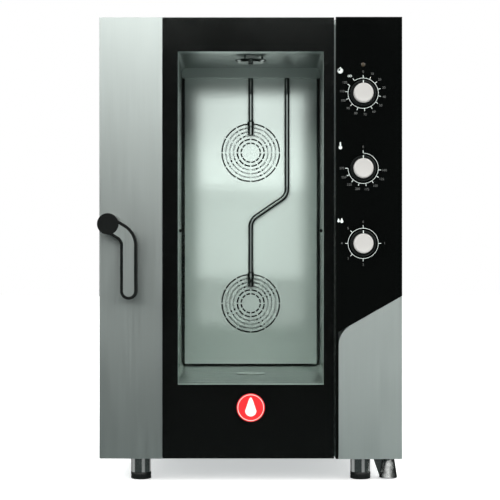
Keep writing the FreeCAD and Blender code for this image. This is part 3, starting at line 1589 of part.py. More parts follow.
def feet():
    """Four steel sleeves under the casing, and four black pads whose studs turn in them."""
    sleeves = []
    names = (("front_left", "-foot_x", "foot_front"), ("front_right", "foot_x", "foot_front"))
    names += (("rear_left", "-foot_x", "foot_rear"), ("rear_right", "foot_x", "foot_rear"))
    for name, x, y in names:
        tube = rod(Z_AXIS, x, y, "pad_height + 0.3", "foot_radius - 0.5", "foot_height - pad_height - 0.3")
        bore = rod(Z_AXIS, x, y, "pad_height - 5", "stud_radius + turning_gap", "foot_height")
        sleeves.append(cut(tube, bore))
        body = new_body(f"{name}_foot", x=x, y=y)
        profile = sketch_on(body, "XZ_Plane")
        polygon(
            profile,
            [
                ("0", "0"),
                ("foot_radius - 5", "0"),
                ("foot_radius - 1.5", "1.5"),
                ("foot_radius", "5"),
                ("foot_radius", "pad_height"),
                ("stud_radius", "pad_height"),
                ("stud_radius", "foot_height + 20"),
                ("0", "foot_height + 20"),
            ],
        )
        revolve(body, profile, "V_Axis")
    keep(fuse(*sleeves), "foot_sleeves")


def drip_spout():
    """Flared outlet of the drip gutter with a slanting stay, under the front right corner."""
    flare = cone(Z_AXIS, "spout_x", "foot_front", "2.5", "22.5", "14", "foot_height - 2.5")
    bore = rod(Z_AXIS, "spout_x", "foot_front", "0", "9", "foot_height + 2")
    stay = doc.addObject("Sketcher::SketchObject", "stay_outline")
    stay.Placement.Rotation = FreeCAD.Rotation(FreeCAD.Vector(1, 0, 0), 90)
    polygon(
        stay,
        [
            ("spout_x - 40", "foot_height"),
            ("spout_x - 12", "foot_height"),
            ("spout_x - 12", "20"),
            ("spout_x - 21", "4"),
        ],
    )
    place(stay, y="foot_front + 1.5")
    rib = doc.addObject("Part::Extrusion", "stay")
    rib.Base = stay
    rib.DirMode = "Custom"
    rib.Dir = FreeCAD.Vector(0, -1, 0)
    rib.Solid = True
    bind(rib, LengthFwd="3")
    keep(cut(fuse(flare, rib), bore), "drip_spout")


def casing_screws():
    """Round screw heads round the rear panel."""
    heads = []
    for side in ("-1", "1"):
        for index in range(5):
            level = f"base_z + 30 + {index} * (body_height - 60) / 4"
            across = f"({side}) * (half - fold / 2)"
            heads.append(rod(Y_AXIS, across, "rear_y", level, "screw_head", "screw_head / 2"))
    keep(fuse(*heads), "casing_screws")


for make in (
    base_frame,
    side_panels,
    top_cover,
    rear_panel,
    front_frame,
    latch_striker,
    hinge_brackets,
    drip_gutter,
    control_fascia,
    lower_front_panel,
    switch_bracket,
    rotary_switches,
    pilot_lamp,
    knobs,
    cavity_shell,
    door_gasket,
    cavity_insulation,
    air_baffle,
    baffle_screws,
    fan_motors,
    heating_elements,
    oven_lamp,
    upper_injection_pipe,
    lower_injection_pipe,
    pipe_cover,
    vent_deflector,
    vent_pipe,
    drain_strainer,
    drain_pipe,
    inlet_valve,
    cable_gland,
    terminal_block,
    door_frame,
    door_left_column,
    door_glass,
    inner_glass_clips,
    door_badge,
    handle_lever,
    handle_inlay,
    latch_spindle,
    feet,
    drip_spout,
    casing_screws,
):
    make()
fan_wheel("upper_fan", "upper_fan_z")
fan_wheel("lower_fan", "lower_fan_z")

# ---------------------------------------------------------------- checks and export

doc.recompute()
failed = [item.Label for item in doc.Objects if "Invalid" in item.State or "Error" in item.State]
failed += [item.Label for item in NODES if item.Shape.isNull() or not item.Shape.isValid()]
if failed:
    raise RuntimeError(f"these objects failed: {failed}")
os.makedirs("parts", exist_ok=True)
for item in NODES:
    item.Shape.exportStep(f"parts/{item.Label}.step")
    box = item.Shape.BoundBox
    corners = (box.XMin, box.XMax, box.YMin, box.YMax, box.ZMin, box.ZMax)
    volume = item.Shape.Volume / 1000
    print(f"{item.Label:24s} solids {len(item.Shape.Solids)}  volume {volume:10.1f} cm3", end="")
    print("  box", *(f"{corner:7.1f}" for corner in corners))
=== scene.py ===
# %% [markdown]
# # A combi steamer oven, finished in Blender
# The oven's real shapes come in as a fixed frame of CAD nodes, in metres, with the front towards -Y.
# This lesson gives every node its finish, models the pieces that need a softer or finer shape than CAD
# gives, and sets a plain studio round them.

# %% Load the frame
import math

import bpy
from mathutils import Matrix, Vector


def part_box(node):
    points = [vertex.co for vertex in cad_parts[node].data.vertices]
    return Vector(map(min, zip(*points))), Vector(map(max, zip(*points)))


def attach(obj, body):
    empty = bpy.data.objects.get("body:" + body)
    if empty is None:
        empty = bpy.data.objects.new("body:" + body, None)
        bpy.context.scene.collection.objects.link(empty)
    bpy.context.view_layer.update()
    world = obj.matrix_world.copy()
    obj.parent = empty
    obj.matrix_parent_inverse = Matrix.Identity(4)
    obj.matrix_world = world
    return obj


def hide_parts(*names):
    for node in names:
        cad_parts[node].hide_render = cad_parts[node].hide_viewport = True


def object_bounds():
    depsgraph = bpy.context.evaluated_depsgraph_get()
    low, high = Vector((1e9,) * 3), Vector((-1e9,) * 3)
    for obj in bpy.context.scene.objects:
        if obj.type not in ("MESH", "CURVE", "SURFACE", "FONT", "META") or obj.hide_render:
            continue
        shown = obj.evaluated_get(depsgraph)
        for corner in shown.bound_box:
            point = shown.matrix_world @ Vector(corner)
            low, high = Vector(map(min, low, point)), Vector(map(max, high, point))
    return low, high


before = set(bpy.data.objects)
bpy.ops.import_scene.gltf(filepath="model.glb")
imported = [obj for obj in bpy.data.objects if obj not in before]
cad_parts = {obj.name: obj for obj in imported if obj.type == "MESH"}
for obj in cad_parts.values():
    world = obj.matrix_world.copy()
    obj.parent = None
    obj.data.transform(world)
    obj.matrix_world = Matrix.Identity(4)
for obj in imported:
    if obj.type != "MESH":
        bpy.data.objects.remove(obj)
cad_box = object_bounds()
MM = 0.001
print("nodes", len(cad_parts), "box", [tuple(round(v, 3) for v in corner) for corner in cad_box])

# %% [markdown]
# ## Measuring the frame
# Places on the oven are read off the boxes of its CAD nodes, so a changed size moves the looks with it.
# Those that several later cells use are named here.

# %% Places on the frame
def middle_of(low, high):
    """The middle of a box, from its low and high corners."""
    return tuple((first + last) / 2 for first, last in zip(low, high))


front_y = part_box("control_fascia")[0].y
slotted_back_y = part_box("air_baffle")[0].y
ceiling_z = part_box("cavity_shell")[1].z
middle_z = middle_of(*cad_box)[2]
print("front", round(front_y, 4), "slotted back", round(slotted_back_y, 4), "ceiling", round(ceiling_z, 4))

# %% [markdown]
# ## Camera
# The oven is looked at square on, from the height of its middle, with a long lens. A long lens keeps
# the casing's sides out of sight, as in a catalogue picture. A hair of sideways shift centres the casing.

# %% Camera
CAMERA_DISTANCE = 3.8
LENS = 113.5
SIDEWAYS_SHIFT = -0.0015
camera = bpy.data.objects.new("camera", bpy.data.cameras.new("camera"))
camera.data.lens = LENS
camera.data.shift_x = SIDEWAYS_SHIFT
camera.location = (0, front_y - CAMERA_DISTANCE, middle_z)
camera.rotation_euler = (math.radians(90), 0, 0)
bpy.context.scene.collection.objects.link(camera)
bpy.context.scene.camera = camera
bpy.context.scene.view_settings.view_transform = "Standard"
print("camera at", tuple(round(v, 3) for v in camera.location))

# %% [markdown]
# ## Node helpers
# A finish is a small tree of shader nodes. Building one in code is mostly adding a node and feeding its
# sockets, so two helpers do just that. A value that is a socket is linked, and any other is set. The rest
# are the few nodes that most of the finishes share. A Mix node has sockets for numbers, vectors and
# colours under the same names, so those for colours are told apart by their numbers.

# %% Node helpers
NOISE_LOW, NOISE_HIGH = 0.3, 0.7
WHITE = (1, 1, 1)
MIX_SHARE, MIX_FIRST, MIX_SECOND, MIX_RESULT = 0, 6, 7, 2


def finish_of(name):
    """A new material, its node tree and its main shader."""
    material = bpy.data.materials.new(name)
    material.use_nodes = True
    return material, material.node_tree, material.node_tree.nodes["Principled BSDF"]


def feed(tree, socket, value):
    """Links a socket to another, or sets its own value."""
    if isinstance(value, bpy.types.NodeSocket):
        tree.links.new(value, socket)
    else:
        socket.default_value = value


def add(tree, kind, inputs=None, **settings):
    """One new node with its settings made and its inputs fed."""
    item = tree.nodes.new(kind)
    for key, value in settings.items():
        setattr(item, key, value)
    for key, value in (inputs or {}).items():
        feed(tree, item.inputs[key], value)
    return item


def streaks(tree, scale, detail=4.0):
    """Noise on the piece's own coordinates, with its own scale along each axis."""
    place = add(tree, "ShaderNodeTexCoord").outputs["Object"]
    stretched = add(tree, "ShaderNodeMapping", {"Vector": place, "Scale": scale}).outputs["Vector"]
    noise = add(tree, "ShaderNodeTexNoise", {"Vector": stretched, "Scale": 1.0, "Detail": detail})
    return noise.outputs["Fac"]


def spread(tree, value, low, high):
    """Carries the useful middle of a noise to a range."""
    ends = {"Value": value, "From Min": NOISE_LOW, "From Max": NOISE_HIGH, "To Min": low, "To Max": high}
    return add(tree, "ShaderNodeMapRange", ends).outputs["Result"]


def worked(tree, operation, *values):
    """One sum on numbers."""
    return add(tree, "ShaderNodeMath", dict(enumerate(values)), operation=operation).outputs["Value"]


def times(tree, first, second):
    """Two colours multiplied channel by channel."""
    return add(tree, "ShaderNodeVectorMath", {0: first, 1: second}, operation="MULTIPLY").outputs["Vector"]


def mixed(tree, share, first, second):
    """Two colours mixed by a share."""
    mix = add(tree, "ShaderNodeMix", data_type="RGBA")
    for index, value in ((MIX_SHARE, share), (MIX_FIRST, first), (MIX_SECOND, second)):
        feed(tree, mix.inputs[index], value)
    return mix.outputs[MIX_RESULT]


def bumped(tree, height, strength, distance):
    """A normal tilted by a height."""
    values = {"Height": height, "Strength": strength, "Distance": distance}
    return add(tree, "ShaderNodeBump", values).outputs["Normal"]


def tone(colour, factor):
    """A colour made lighter or darker, with its alpha."""
    return tuple(min(channel * factor, 1.0) for channel in colour) + (1.0,)


def stepped(tree, value, stops, tints=None, interpolation="LINEAR"):
    """A ramp through (place, strength) pairs, each with a tint of its own if there are any."""
    steps = add(tree, "ShaderNodeValToRGB", {"Fac": value})
    steps.color_ramp.interpolation = interpolation
    while len(steps.color_ramp.elements) < len(stops):
        steps.color_ramp.elements.new(0.5)
    tints = tints or [WHITE] * len(stops)
    for element, (place, strength), tint in zip(steps.color_ramp.elements, stops, tints):
        element.position = place
        element.color = tone(tint, strength)
    return steps.outputs["Color"]


print("node helpers ready")

# %% [markdown]
# ## Brushed and rolled steel
# Stainless sheet is ground with a belt, which leaves fine parallel scratches. They could be drawn as an
# image, but stretched noise on the piece's own coordinates gives scratches at any size with no seams.
# The scratches vary the colour and roughness a little, a slow cloud stands for wear, and anisotropy drags
# highlights across the grain. The grain is fine across the scratches and long along them.

# %% Steel finishes
FINE, LONG = 800.0, 6.0
UPRIGHT = (FINE, FINE, LONG)
LEVEL = (LONG, LONG, FINE)
LENGTHWISE = (LONG, FINE, FINE)
CLOUD = (3.0, 3.0, 2.0)
GRAIN_ROUGHNESS = 0.03
SCRATCH_DEPTH = 0.3 * MM


def brushed_steel(name, colour, roughness, grain, scratch=0.03, drag=0.5):
    """Ground sheet: grain is the noise scale along x, y and z."""
    material, tree, steel = finish_of(name)
    fine = streaks(tree, grain, 5.0)
    cloud = streaks(tree, CLOUD, 2.0)
    feed(tree, steel.inputs["Base Color"], mixed(tree, fine, tone(colour, 0.95), tone(colour, 1.04)))
    ground = spread(tree, fine, roughness - GRAIN_ROUGHNESS, roughness + GRAIN_ROUGHNESS)
    feed(tree, steel.inputs["Roughness"], worked(tree, "ADD", ground, spread(tree, cloud, -0.02, 0.03)))
    feed(tree, steel.inputs["Normal"], bumped(tree, fine, scratch, SCRATCH_DEPTH))
    steel.inputs["Metallic"].default_value = 1.0
    steel.inputs["Anisotropic"].default_value = drag
    return material


STEEL = (0.575, 0.635, 0.615)
casing_steel = brushed_steel("casing_steel", STEEL, 0.34, UPRIGHT)
# The lower front panel's steel is lighter than the casing's: painted light, standing in for the highlight
# it catches.
lit_panel_steel = brushed_steel("lit_panel_steel", (0.85, 0.94, 0.91), 0.34, UPRIGHT)
# The top cover's steel is far darker than the casing's: painted shade, so that the top doesn't glare under
# the bright light above.
shaded_top_steel = brushed_steel("shaded_top_steel", (0.19, 0.2, 0.195), 0.45, LENGTHWISE, drag=0.0)
column_steel = brushed_steel("column_steel", STEEL, 0.33, UPRIGHT)
door_steel = brushed_steel("door_steel", tone(STEEL, 0.9)[:3], 0.4, LEVEL)
# The cavity's liner is far darker than the casing: painted shade for the dim walls inside the oven.
liner_steel = brushed_steel("liner_steel", (0.24, 0.27, 0.26), 0.28, LENGTHWISE, scratch=0.02, drag=0.0)
baffle_steel = brushed_steel("baffle_steel", (0.74, 0.775, 0.76), 0.5, LEVEL, scratch=0.02, drag=0.0)
tube_steel = brushed_steel("tube_steel", (0.66, 0.67, 0.67), 0.3, UPRIGHT, scratch=0.02, drag=0.0)
print("steel finishes made")

# %% [markdown]
# A fan wheel has a finish of its own. Its face plate is bright, and its eye, its rim and the blades behind
# are painted near black: painted shade for the dark chamber behind the slots. The distance from the shaft,
# as a share of the wheel's radius, goes through a ramp of bands, and the depth behind the wheel's front
# tells the face plate from the blades.

# %% Fan finish
FACE_DEPTH = 9 * MM
FAN_BANDS = ((0.0, 0.0), (0.4, 0.0), (0.43, 1.0), (0.71, 1.0), (0.74, 0.15), (1.0, 0.1))
# The near-black colour is painted shade for the fan chamber, which the lights don't reach.
PAINTED_SHADE, BRIGHT = (0.008, 0.009, 0.009, 1), (0.95, 0.98, 0.97, 1)


def fan_finish(fan):
    """Bright on the face plate, with painted shade in the eye, at the rim and behind."""
    material, tree, steel = finish_of(f"{fan}_steel")
    low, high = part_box(fan)
    place = add(tree, "ShaderNodeTexCoord").outputs["Object"]
    centre = {"Vector": place, "Location": (0, 0, -(low.z + high.z) / 2), "Scale": (1, 0, 1)}
    outwards = add(tree, "ShaderNodeMapping", centre).outputs["Vector"]
    radius = add(tree, "ShaderNodeVectorMath", {0: outwards}, operation="LENGTH").outputs["Value"]
    band = stepped(tree, worked(tree, "DIVIDE", radius, (high.z - low.z) / 2), FAN_BANDS)
    along = add(tree, "ShaderNodeSeparateXYZ", {"Vector": place}).outputs["Y"]
    bright = worked(tree, "MULTIPLY", band, worked(tree, "LESS_THAN", along, low.y + FACE_DEPTH))
    feed(tree, steel.inputs["Base Color"], mixed(tree, bright, PAINTED_SHADE, BRIGHT))
    feed(tree, steel.inputs["Roughness"], spread(tree, streaks(tree, (90.0,) * 3), 0.4, 0.6))
    steel.inputs["Metallic"].default_value = 0.6
    return material


upper_fan_steel, lower_fan_steel = fan_finish("upper_fan"), fan_finish("lower_fan")
print("fan finishes made")

# %% [markdown]
# Polished pieces, such as the feet's sleeves and the pipes, are nearly mirrors with faint polishing
# marks. Galvanised sheet has no shine to speak of: its zinc freezes in flat crystals, which a Voronoi
# pattern gives in one node.

# %% Polished and galvanised metal
POLISHING_MARKS = (60.0,) * 3
CRYSTALS = 90.0
ZINC_DULL, ZINC_LIGHT = (0.42, 0.44, 0.45, 1), (0.6, 0.62, 0.64, 1)


def polished_metal(name, colour, roughness):
    """A near mirror with faint marks."""
    material, tree, metal = finish_of(name)
    marks = streaks(tree, POLISHING_MARKS, 3.0)
    feed(tree, metal.inputs["Base Color"], mixed(tree, marks, tone(colour, 0.95), tone(colour, 1.03)))
    feed(tree, metal.inputs["Roughness"], spread(tree, marks, roughness * 0.7, roughness * 1.4))
    feed(tree, metal.inputs["Normal"], bumped(tree, marks, 0.02, 0.5 * MM))
    metal.inputs["Metallic"].default_value = 1.0
    return material


def galvanised_sheet(name):
    """Flat zinc crystals, each a little lighter or duller than the next."""
    material, tree, zinc = finish_of(name)
    place = add(tree, "ShaderNodeTexCoord").outputs["Object"]
    crystals = add(tree, "ShaderNodeTexVoronoi", {"Vector": place, "Scale": CRYSTALS}).outputs["Color"]
    shade = add(tree, "ShaderNodeSeparateColor", {"Color": crystals}).outputs["Red"]
    feed(tree, zinc.inputs["Base Color"], mixed(tree, shade, ZINC_DULL, ZINC_LIGHT))
    feed(tree, zinc.inputs["Roughness"], spread(tree, shade, 0.4, 0.55))
    feed(tree, zinc.inputs["Normal"], bumped(tree, shade, 0.02, 0.2 * MM))
    zinc.inputs["Metallic"].default_value = 0.9
    return material


polished_steel = polished_metal("polished_steel", (0.62, 0.64, 0.63), 0.12)
# This is a darker copy of the polished steel: painted shade, which keeps the pipes dark at their edges
# beside the highlight.
shaded_pipe_steel = polished_metal("shaded_pipe_steel", (0.2, 0.215, 0.21), 0.12)
valve_brass = polished_metal("valve_brass", (0.75, 0.57, 0.28), 0.28)
cast_aluminium = polished_metal("cast_aluminium", (0.52, 0.53, 0.54), 0.5)
zinc_sheet = galvanised_sheet("zinc_sheet")
print("polished and galvanised finishes made")

# %% [markdown]
# ## Mouldings, enamel and rubber
# Moulded and enamelled pieces are one colour to the eye, but never quite: the surface has a fine orange
# peel, and the gloss changes where it is handled. One helper takes the colour, the roughness and the
# fineness and depth of the peel, and makes all of them. A matt black piece also mirrors less light than
# most plastics do, which is what its shine is for.

# %% Mouldings, enamel and rubber
HANDLING = (12.0,) * 3
PEEL_DEPTH = 0.4 * MM


def moulding(name, colour, roughness, peel=400.0, depth=0.02, coat=0.0, shine=0.5):
    """Plastic, enamel or rubber with a fine surface of its own."""
    material, tree, plastic = finish_of(name)
    fine = streaks(tree, (peel,) * 3, 3.0)
    cloud = streaks(tree, HANDLING, 3.0)
    feed(tree, plastic.inputs["Base Color"], mixed(tree, cloud, tone(colour, 0.9), tone(colour, 1.08)))
    feed(tree, plastic.inputs["Roughness"], spread(tree, cloud, roughness * 0.85, roughness * 1.15))
    feed(tree, plastic.inputs["Normal"], bumped(tree, fine, depth, PEEL_DEPTH))
    plastic.inputs["Coat Weight"].default_value = coat
    plastic.inputs["Specular IOR Level"].default_value = shine
    return material


gloss_black = moulding("gloss_black", (0.0012, 0.0015, 0.0014), 0.05, peel=40.0, depth=0.0005, shine=0.3)
border_enamel = moulding("border_enamel", (0.0018, 0.002, 0.0019), 0.12, peel=40.0, depth=0.0005)
handle_black = moulding("handle_black", (0.002, 0.0028, 0.0026), 0.36, peel=900.0, depth=0.03, shine=0.12)
skirt_black = moulding("skirt_black", (0.002, 0.003, 0.0028), 0.3, peel=900.0, depth=0.03, shine=0.16)
cap_white = moulding("cap_white", (0.31, 0.305, 0.295), 0.35, peel=900.0, depth=0.02)
dial_white = moulding("dial_white", (0.5, 0.55, 0.53), 0.5)
dial_grey = moulding("dial_grey", (0.06, 0.064, 0.062), 0.5)
badge_red = moulding("badge_red", (0.62, 0.012, 0.015), 0.2, peel=300.0, depth=0.01, coat=0.5)
switch_plastic = moulding("switch_plastic", (0.72, 0.7, 0.62), 0.45)
lamp_amber = moulding("lamp_amber", (0.03, 0.022, 0.012), 0.25, peel=200.0, depth=0.01)
gland_nylon = moulding("gland_nylon", (0.02, 0.02, 0.02), 0.45, peel=700.0, depth=0.05)
foot_rubber = moulding("foot_rubber", (0.004, 0.005, 0.005), 0.4, peel=700.0, depth=0.05, shine=0.25)
seal_rubber = moulding("seal_rubber", (0.01, 0.01, 0.01), 0.55, peel=700.0, depth=0.06)
element_sheath = moulding("element_sheath", (0.06, 0.05, 0.045), 0.45, peel=500.0, depth=0.08)
wool_jacket = moulding("wool_jacket", (0.62, 0.52, 0.26), 0.9, peel=160.0, depth=0.6)
print("moulding finishes made")

# %% [markdown]
# ## Glass
# The panes are flat and thin, so nothing seen through them is bent. A mix of clear and mirror, shared
# out by the angle of view, therefore looks right, and it lets light straight through with no noise. The
# mirror's share follows Schlick's rule: it grows with the fifth power of how edge-on the pane is seen.

# %% Glass
SCHLICK_POWER = 5.0


def flat_glass(name, tint, least=0.03):
    """Clear; its reflection grows from the least share towards a grazing view."""
    material, tree, shader = finish_of(name)
    tree.nodes.remove(shader)
    haze = streaks(tree, (5.0,) * 3, 2.0)
    clear = add(tree, "ShaderNodeBsdfTransparent", {"Color": tint})
    mirror = add(tree, "ShaderNodeBsdfGlossy", {"Roughness": spread(tree, haze, 0.01, 0.03)})
    facing = add(tree, "ShaderNodeLayerWeight", {"Blend": 0.5}).outputs["Facing"]
    share = worked(tree, "MULTIPLY_ADD", worked(tree, "POWER", facing, SCHLICK_POWER), 1 - least, least)
    both = {0: share, 1: clear.outputs["BSDF"], 2: mirror.outputs["BSDF"]}
    pane = add(tree, "ShaderNodeMixShader", both).outputs["Shader"]
    feed(tree, tree.nodes["Material Output"].inputs["Surface"], pane)
    return material


pane_glass = flat_glass("pane_glass", (0.96, 0.98, 0.97, 1))
lens_glass = moulding("lens_glass", (0.8, 0.8, 0.74), 0.35, peel=300.0, depth=0.2, coat=0.3)
print("glass made")

# %% [markdown]
# ## Giving the CAD nodes their finishes
# A CAD node whose shape is right stays as it is and only gets its material. One table says which finish
# each node takes, so that no node is forgotten, and the last line of the cell prints any that were.

# %% Finishes by node
KNOBS = ("timer", "thermostat", "humidity")
CORNERS = ("front_left", "front_right", "rear_left", "rear_right")
finishes = {
    casing_steel: ("left_side_panel", "right_side_panel", "front_frame", "rear_panel"),
    lit_panel_steel: ("lower_front_panel",),
    shaded_top_steel: ("top_cover",),
    column_steel: ("door_left_column", "handle_inlay"),
    door_steel: ("door_frame", "drip_gutter"),
    liner_steel: ("cavity_shell",),
    baffle_steel: ("air_baffle", "pipe_cover", "baffle_screws"),
    upper_fan_steel: ("upper_fan",),
    lower_fan_steel: ("lower_fan",),
    tube_steel: ("vent_pipe", "drain_pipe", "latch_striker", "latch_spindle", "oven_lamp"),
    polished_steel: ("foot_sleeves", "drip_spout", "casing_screws", "drain_strainer"),
    shaded_pipe_steel: ("upper_injection_pipe", "lower_injection_pipe", "vent_deflector", "inner_glass_clips"),
    valve_brass: ("inlet_valve",),
    cast_aluminium: ("fan_motors",),
    zinc_sheet: ("base_frame", "switch_bracket", "hinge_brackets"),
    gloss_black: ("control_fascia",),
    border_enamel: ("glass_border",),
    handle_black: ("handle_lever",),
    skirt_black: tuple(f"{knob}_knob_skirt" for knob in KNOBS),
    cap_white: tuple(f"{knob}_knob_cap" for knob in KNOBS),
    badge_red: ("door_badge",),
    switch_plastic: tuple(f"{knob}_switch" for knob in KNOBS) + ("terminal_block",),
    lamp_amber: ("pilot_lamp",),
    gland_nylon: ("cable_gland",),
    foot_rubber: tuple(f"{corner}_foot" for corner in CORNERS),
    seal_rubber: ("door_gasket",),
    element_sheath: ("heating_elements",),
    wool_jacket: ("cavity_insulation",),
    pane_glass: ("door_outer_glass", "inner_glass"),
    lens_glass: ("lamp_lens",),
}
dressed = set()
for material, names in finishes.items():
    for name in names:
        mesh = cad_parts[name].data
        mesh.materials.clear()
        mesh.materials.append(material)
        dressed.add(name)
print("nodes without a finish", sorted(set(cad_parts) - dressed))

# %% [markdown]
# ## Modelling helpers
# Each new piece starts as a primitive and is shaped in edit mode. Everything is deselected first,
# because an operator acts on all that is selected. A primitive's place is applied to its mesh at once,
# so that its object sits at the origin like a CAD node.

# %% Modelling helpers
WELD = 0.001 * MM


def fresh():
    """Leaves edit mode and deselects everything."""
    if bpy.context.object and bpy.context.object.mode != "OBJECT":
        bpy.ops.object.mode_set(mode="OBJECT")
    bpy.ops.object.select_all(action="DESELECT")


def settle():
    """Applies the new object's place, turn and size to its mesh, and returns it."""
    bpy.ops.object.transform_apply(location=True, rotation=True, scale=True)
    return bpy.context.object


def joined(name, pieces, material):
    """One object from several, with one finish."""
    fresh()
    for piece in pieces:
        piece.select_set(True)
    bpy.context.view_layer.objects.active = pieces[0]
    bpy.ops.object.join()
    whole = bpy.context.object
    whole.name = name
    whole.data.materials.clear()
    whole.data.materials.append(material)
    return whole


def close_up(piece, angle=35):
    """Turns all normals outwards and smooths the soft edges."""
    fresh()
    piece.select_set(True)
    bpy.context.view_layer.objects.active = piece
    bpy.ops.object.mode_set(mode="EDIT")
    bpy.ops.mesh.select_all(action="SELECT")
    bpy.ops.mesh.remove_doubles(threshold=WELD)
    bpy.ops.mesh.normals_make_consistent(inside=False)
    bpy.ops.object.mode_set(mode="OBJECT")
    bpy.ops.object.shade_smooth_by_angle(angle=math.radians(angle))
    return piece


def modified(piece, kind, **settings):
    """Adds one modifier with its settings and applies it."""
    fresh()
    piece.select_set(True)
    bpy.context.view_layer.objects.active = piece
    modifier = piece.modifiers.new(kind.lower(), kind)
    for key, value in settings.items():
        setattr(modifier, key, value)
    bpy.ops.object.modifier_apply(modifier=modifier.name)
    return piece


print("modelling helpers ready")

# %% [markdown]
# Knobs and feet are turned on a lathe, or moulded in a form that was. A spin of a half outline would
# do, but a disc that is extruded and resized ring by ring needs no outline to be drawn, and each ring
# is one pair of numbers: its radius and its distance along the axis.

# %% Turned pieces
def turned(name, centre, axis, rings, material, sides=96):
    """A solid of revolution from rings of (radius, distance along the axis)."""
    fresh()
    centre, axis = Vector(centre), Vector(axis)
    turn = Vector((0, 0, 1)).rotation_difference(axis).to_euler()
    radius, along = rings[0]
    bpy.ops.mesh.primitive_circle_add(
        vertices=sides, radius=radius, fill_type="NGON", location=centre + axis * along, rotation=turn
    )
    piece = settle()
    bpy.ops.object.mode_set(mode="EDIT")
    bpy.ops.mesh.select_all(action="SELECT")
    for next_radius, next_along in rings[1:]:
        step = axis * (next_along - along)
        bpy.ops.mesh.extrude_region_move(TRANSFORM_OT_translate={"value": step})
        factor = next_radius / radius
        bpy.ops.transform.resize(value=(factor, factor, factor), center_override=centre + axis * next_along)
        radius, along = next_radius, next_along
    bpy.ops.object.mode_set(mode="OBJECT")
    piece.name = name
    piece.data.materials.append(material)
    return close_up(piece)


print("turning ready")

# %% [markdown]
# ## Knob caps
# Each knob is a black skirt under a pale satin cap. The cap's edge rolls over into a slightly dished
# face, which is what catches the light as a ring. The rings are shares of the cap's radius and depth.
# The skirt keeps its CAD shape.

# %% Knob caps
FACING = (0, -1, 0)
CAP_RINGS = (
    (1.0, 0.0), (1.0, 0.08), (0.975, 0.8), (0.96, 0.88), (0.93, 0.94), (0.89, 0.98), (0.85, 1.0),
    (0.8, 0.985), (0.7, 0.965), (0.4, 0.95), (0.05, 0.945),
)
for knob in KNOBS:
    low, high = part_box(f"{knob}_knob_cap")
    radius, depth = (high.x - low.x) / 2, high.y - low.y
    middle = middle_of(low, high)
    rings = [(share * radius, along * depth) for share, along in CAP_RINGS]
    cap = turned(f"{knob}_cap", (middle[0], high.y, middle[2]), FACING, rings, cap_white)
    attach(cap, f"{knob}_knob")
    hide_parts(f"{knob}_knob_cap")
print("three caps, radius", round(radius, 4), "depth", round(depth, 4))

# %% [markdown]
# ## Printed marks
# Scales, numbers and signs are screen printed: ink a tenth of a millimetre thick. They are modelled as
# thin flat pieces, because an image would blur when enlarged. Bars, arcs and numbers are made flat, in
# the plane of the face, joined, and given the ink's thickness with one Solidify. An arc is a circle that
# loses its points outside the two angles, and is then extruded and shrunk inwards to its width.

# %% Flat marks
INK = 0.12 * MM
UPRIGHT_FLAT = math.radians(90)
TO_FRONT = (UPRIGHT_FLAT, 0, 0)
ARC_SIDES, DISC_SIDES = 180, 48
ANGLE_SLACK = 0.5
DROP_WAIST = 0.35


def around(centre, angle, radius):
    """The point at an angle, clockwise from the top, on a circle that faces the front."""
    turn = math.radians(angle)
    return Vector((centre[0] + radius * math.sin(turn), centre[1], centre[2] + radius * math.cos(turn)))


def bar(centre, angle, radius, across, along):
    """A small bar that points away from the centre."""
    fresh()
    rotation = (UPRIGHT_FLAT, math.radians(angle), 0)
    bpy.ops.mesh.primitive_plane_add(size=1, location=around(centre, angle, radius), rotation=rotation)
    bpy.context.object.scale = (across, along, 1)
    return settle()


def arc(centre, radius, width, start=0.0, end=360.0):
    """A thin arc from one angle to another, clockwise."""
    fresh()
    bpy.ops.mesh.primitive_circle_add(
        vertices=ARC_SIDES, radius=radius, fill_type="NOTHING", location=centre, rotation=TO_FRONT
    )
    ring = settle()
    ring.data.edges.foreach_set("select", [False] * len(ring.data.edges))
    for vertex in ring.data.vertices:
        offset = vertex.co - Vector(centre)
        angle = math.degrees(math.atan2(offset.x, offset.z))
        vertex.select = (angle - start) % 360 > end - start + ANGLE_SLACK
    bpy.ops.object.mode_set(mode="EDIT")
    bpy.ops.mesh.delete(type="VERT")
    bpy.ops.mesh.select_all(action="SELECT")
    bpy.ops.mesh.extrude_edges_move()
    inner = 1 - width / radius
    bpy.ops.transform.resize(value=(inner, 1, inner), center_override=centre)
    bpy.ops.object.mode_set(mode="OBJECT")
    return ring


def disc(centre, radius, pull=0.0):
    """A flat disc. A pull draws its top out into a point, for a drop."""
    fresh()
    bpy.ops.mesh.primitive_circle_add(
        vertices=DISC_SIDES, radius=radius, fill_type="NGON", location=centre, rotation=TO_FRONT
    )
    piece = settle()
    if pull:
        top = max(vertex.co.z for vertex in piece.data.vertices)
        for vertex in piece.data.vertices:
            share = max(0.0, (vertex.co.z - centre[2]) / (top - centre[2]))
            vertex.co.z += pull * share**2
            vertex.co.x = centre[0] + (vertex.co.x - centre[0]) * (1 - DROP_WAIST * share)
    return piece


def words(centre, body, size):
    """Figures as a flat mesh."""
    fresh()
    bpy.ops.object.text_add(location=centre, rotation=TO_FRONT)
    text = bpy.context.object
    text.data.body = body
    text.data.size = size
    text.data.align_x = "CENTER"
    text.data.align_y = "CENTER"
    text.data.resolution_u = 3
    bpy.ops.object.convert(target="MESH")
    return settle()


def printed(name, marks, material, body):
    """Marks joined, given the ink's thickness and set to ride on a body."""
    whole = joined(name, marks, material)
    modified(whole, "SOLIDIFY", thickness=INK, offset=0.0)
    close_up(whole, angle=20)
    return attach(whole, body)


print("ink", INK, "thick")

# %% [markdown]
# ## Dials
# Each dial is a thin ring with ticks just outside it and figures round those. The three differ in how
# far they turn, so one function takes the arc, the ticks and the figures. It also prints the pointer on
# the knob's skirt, which turns with the knob.

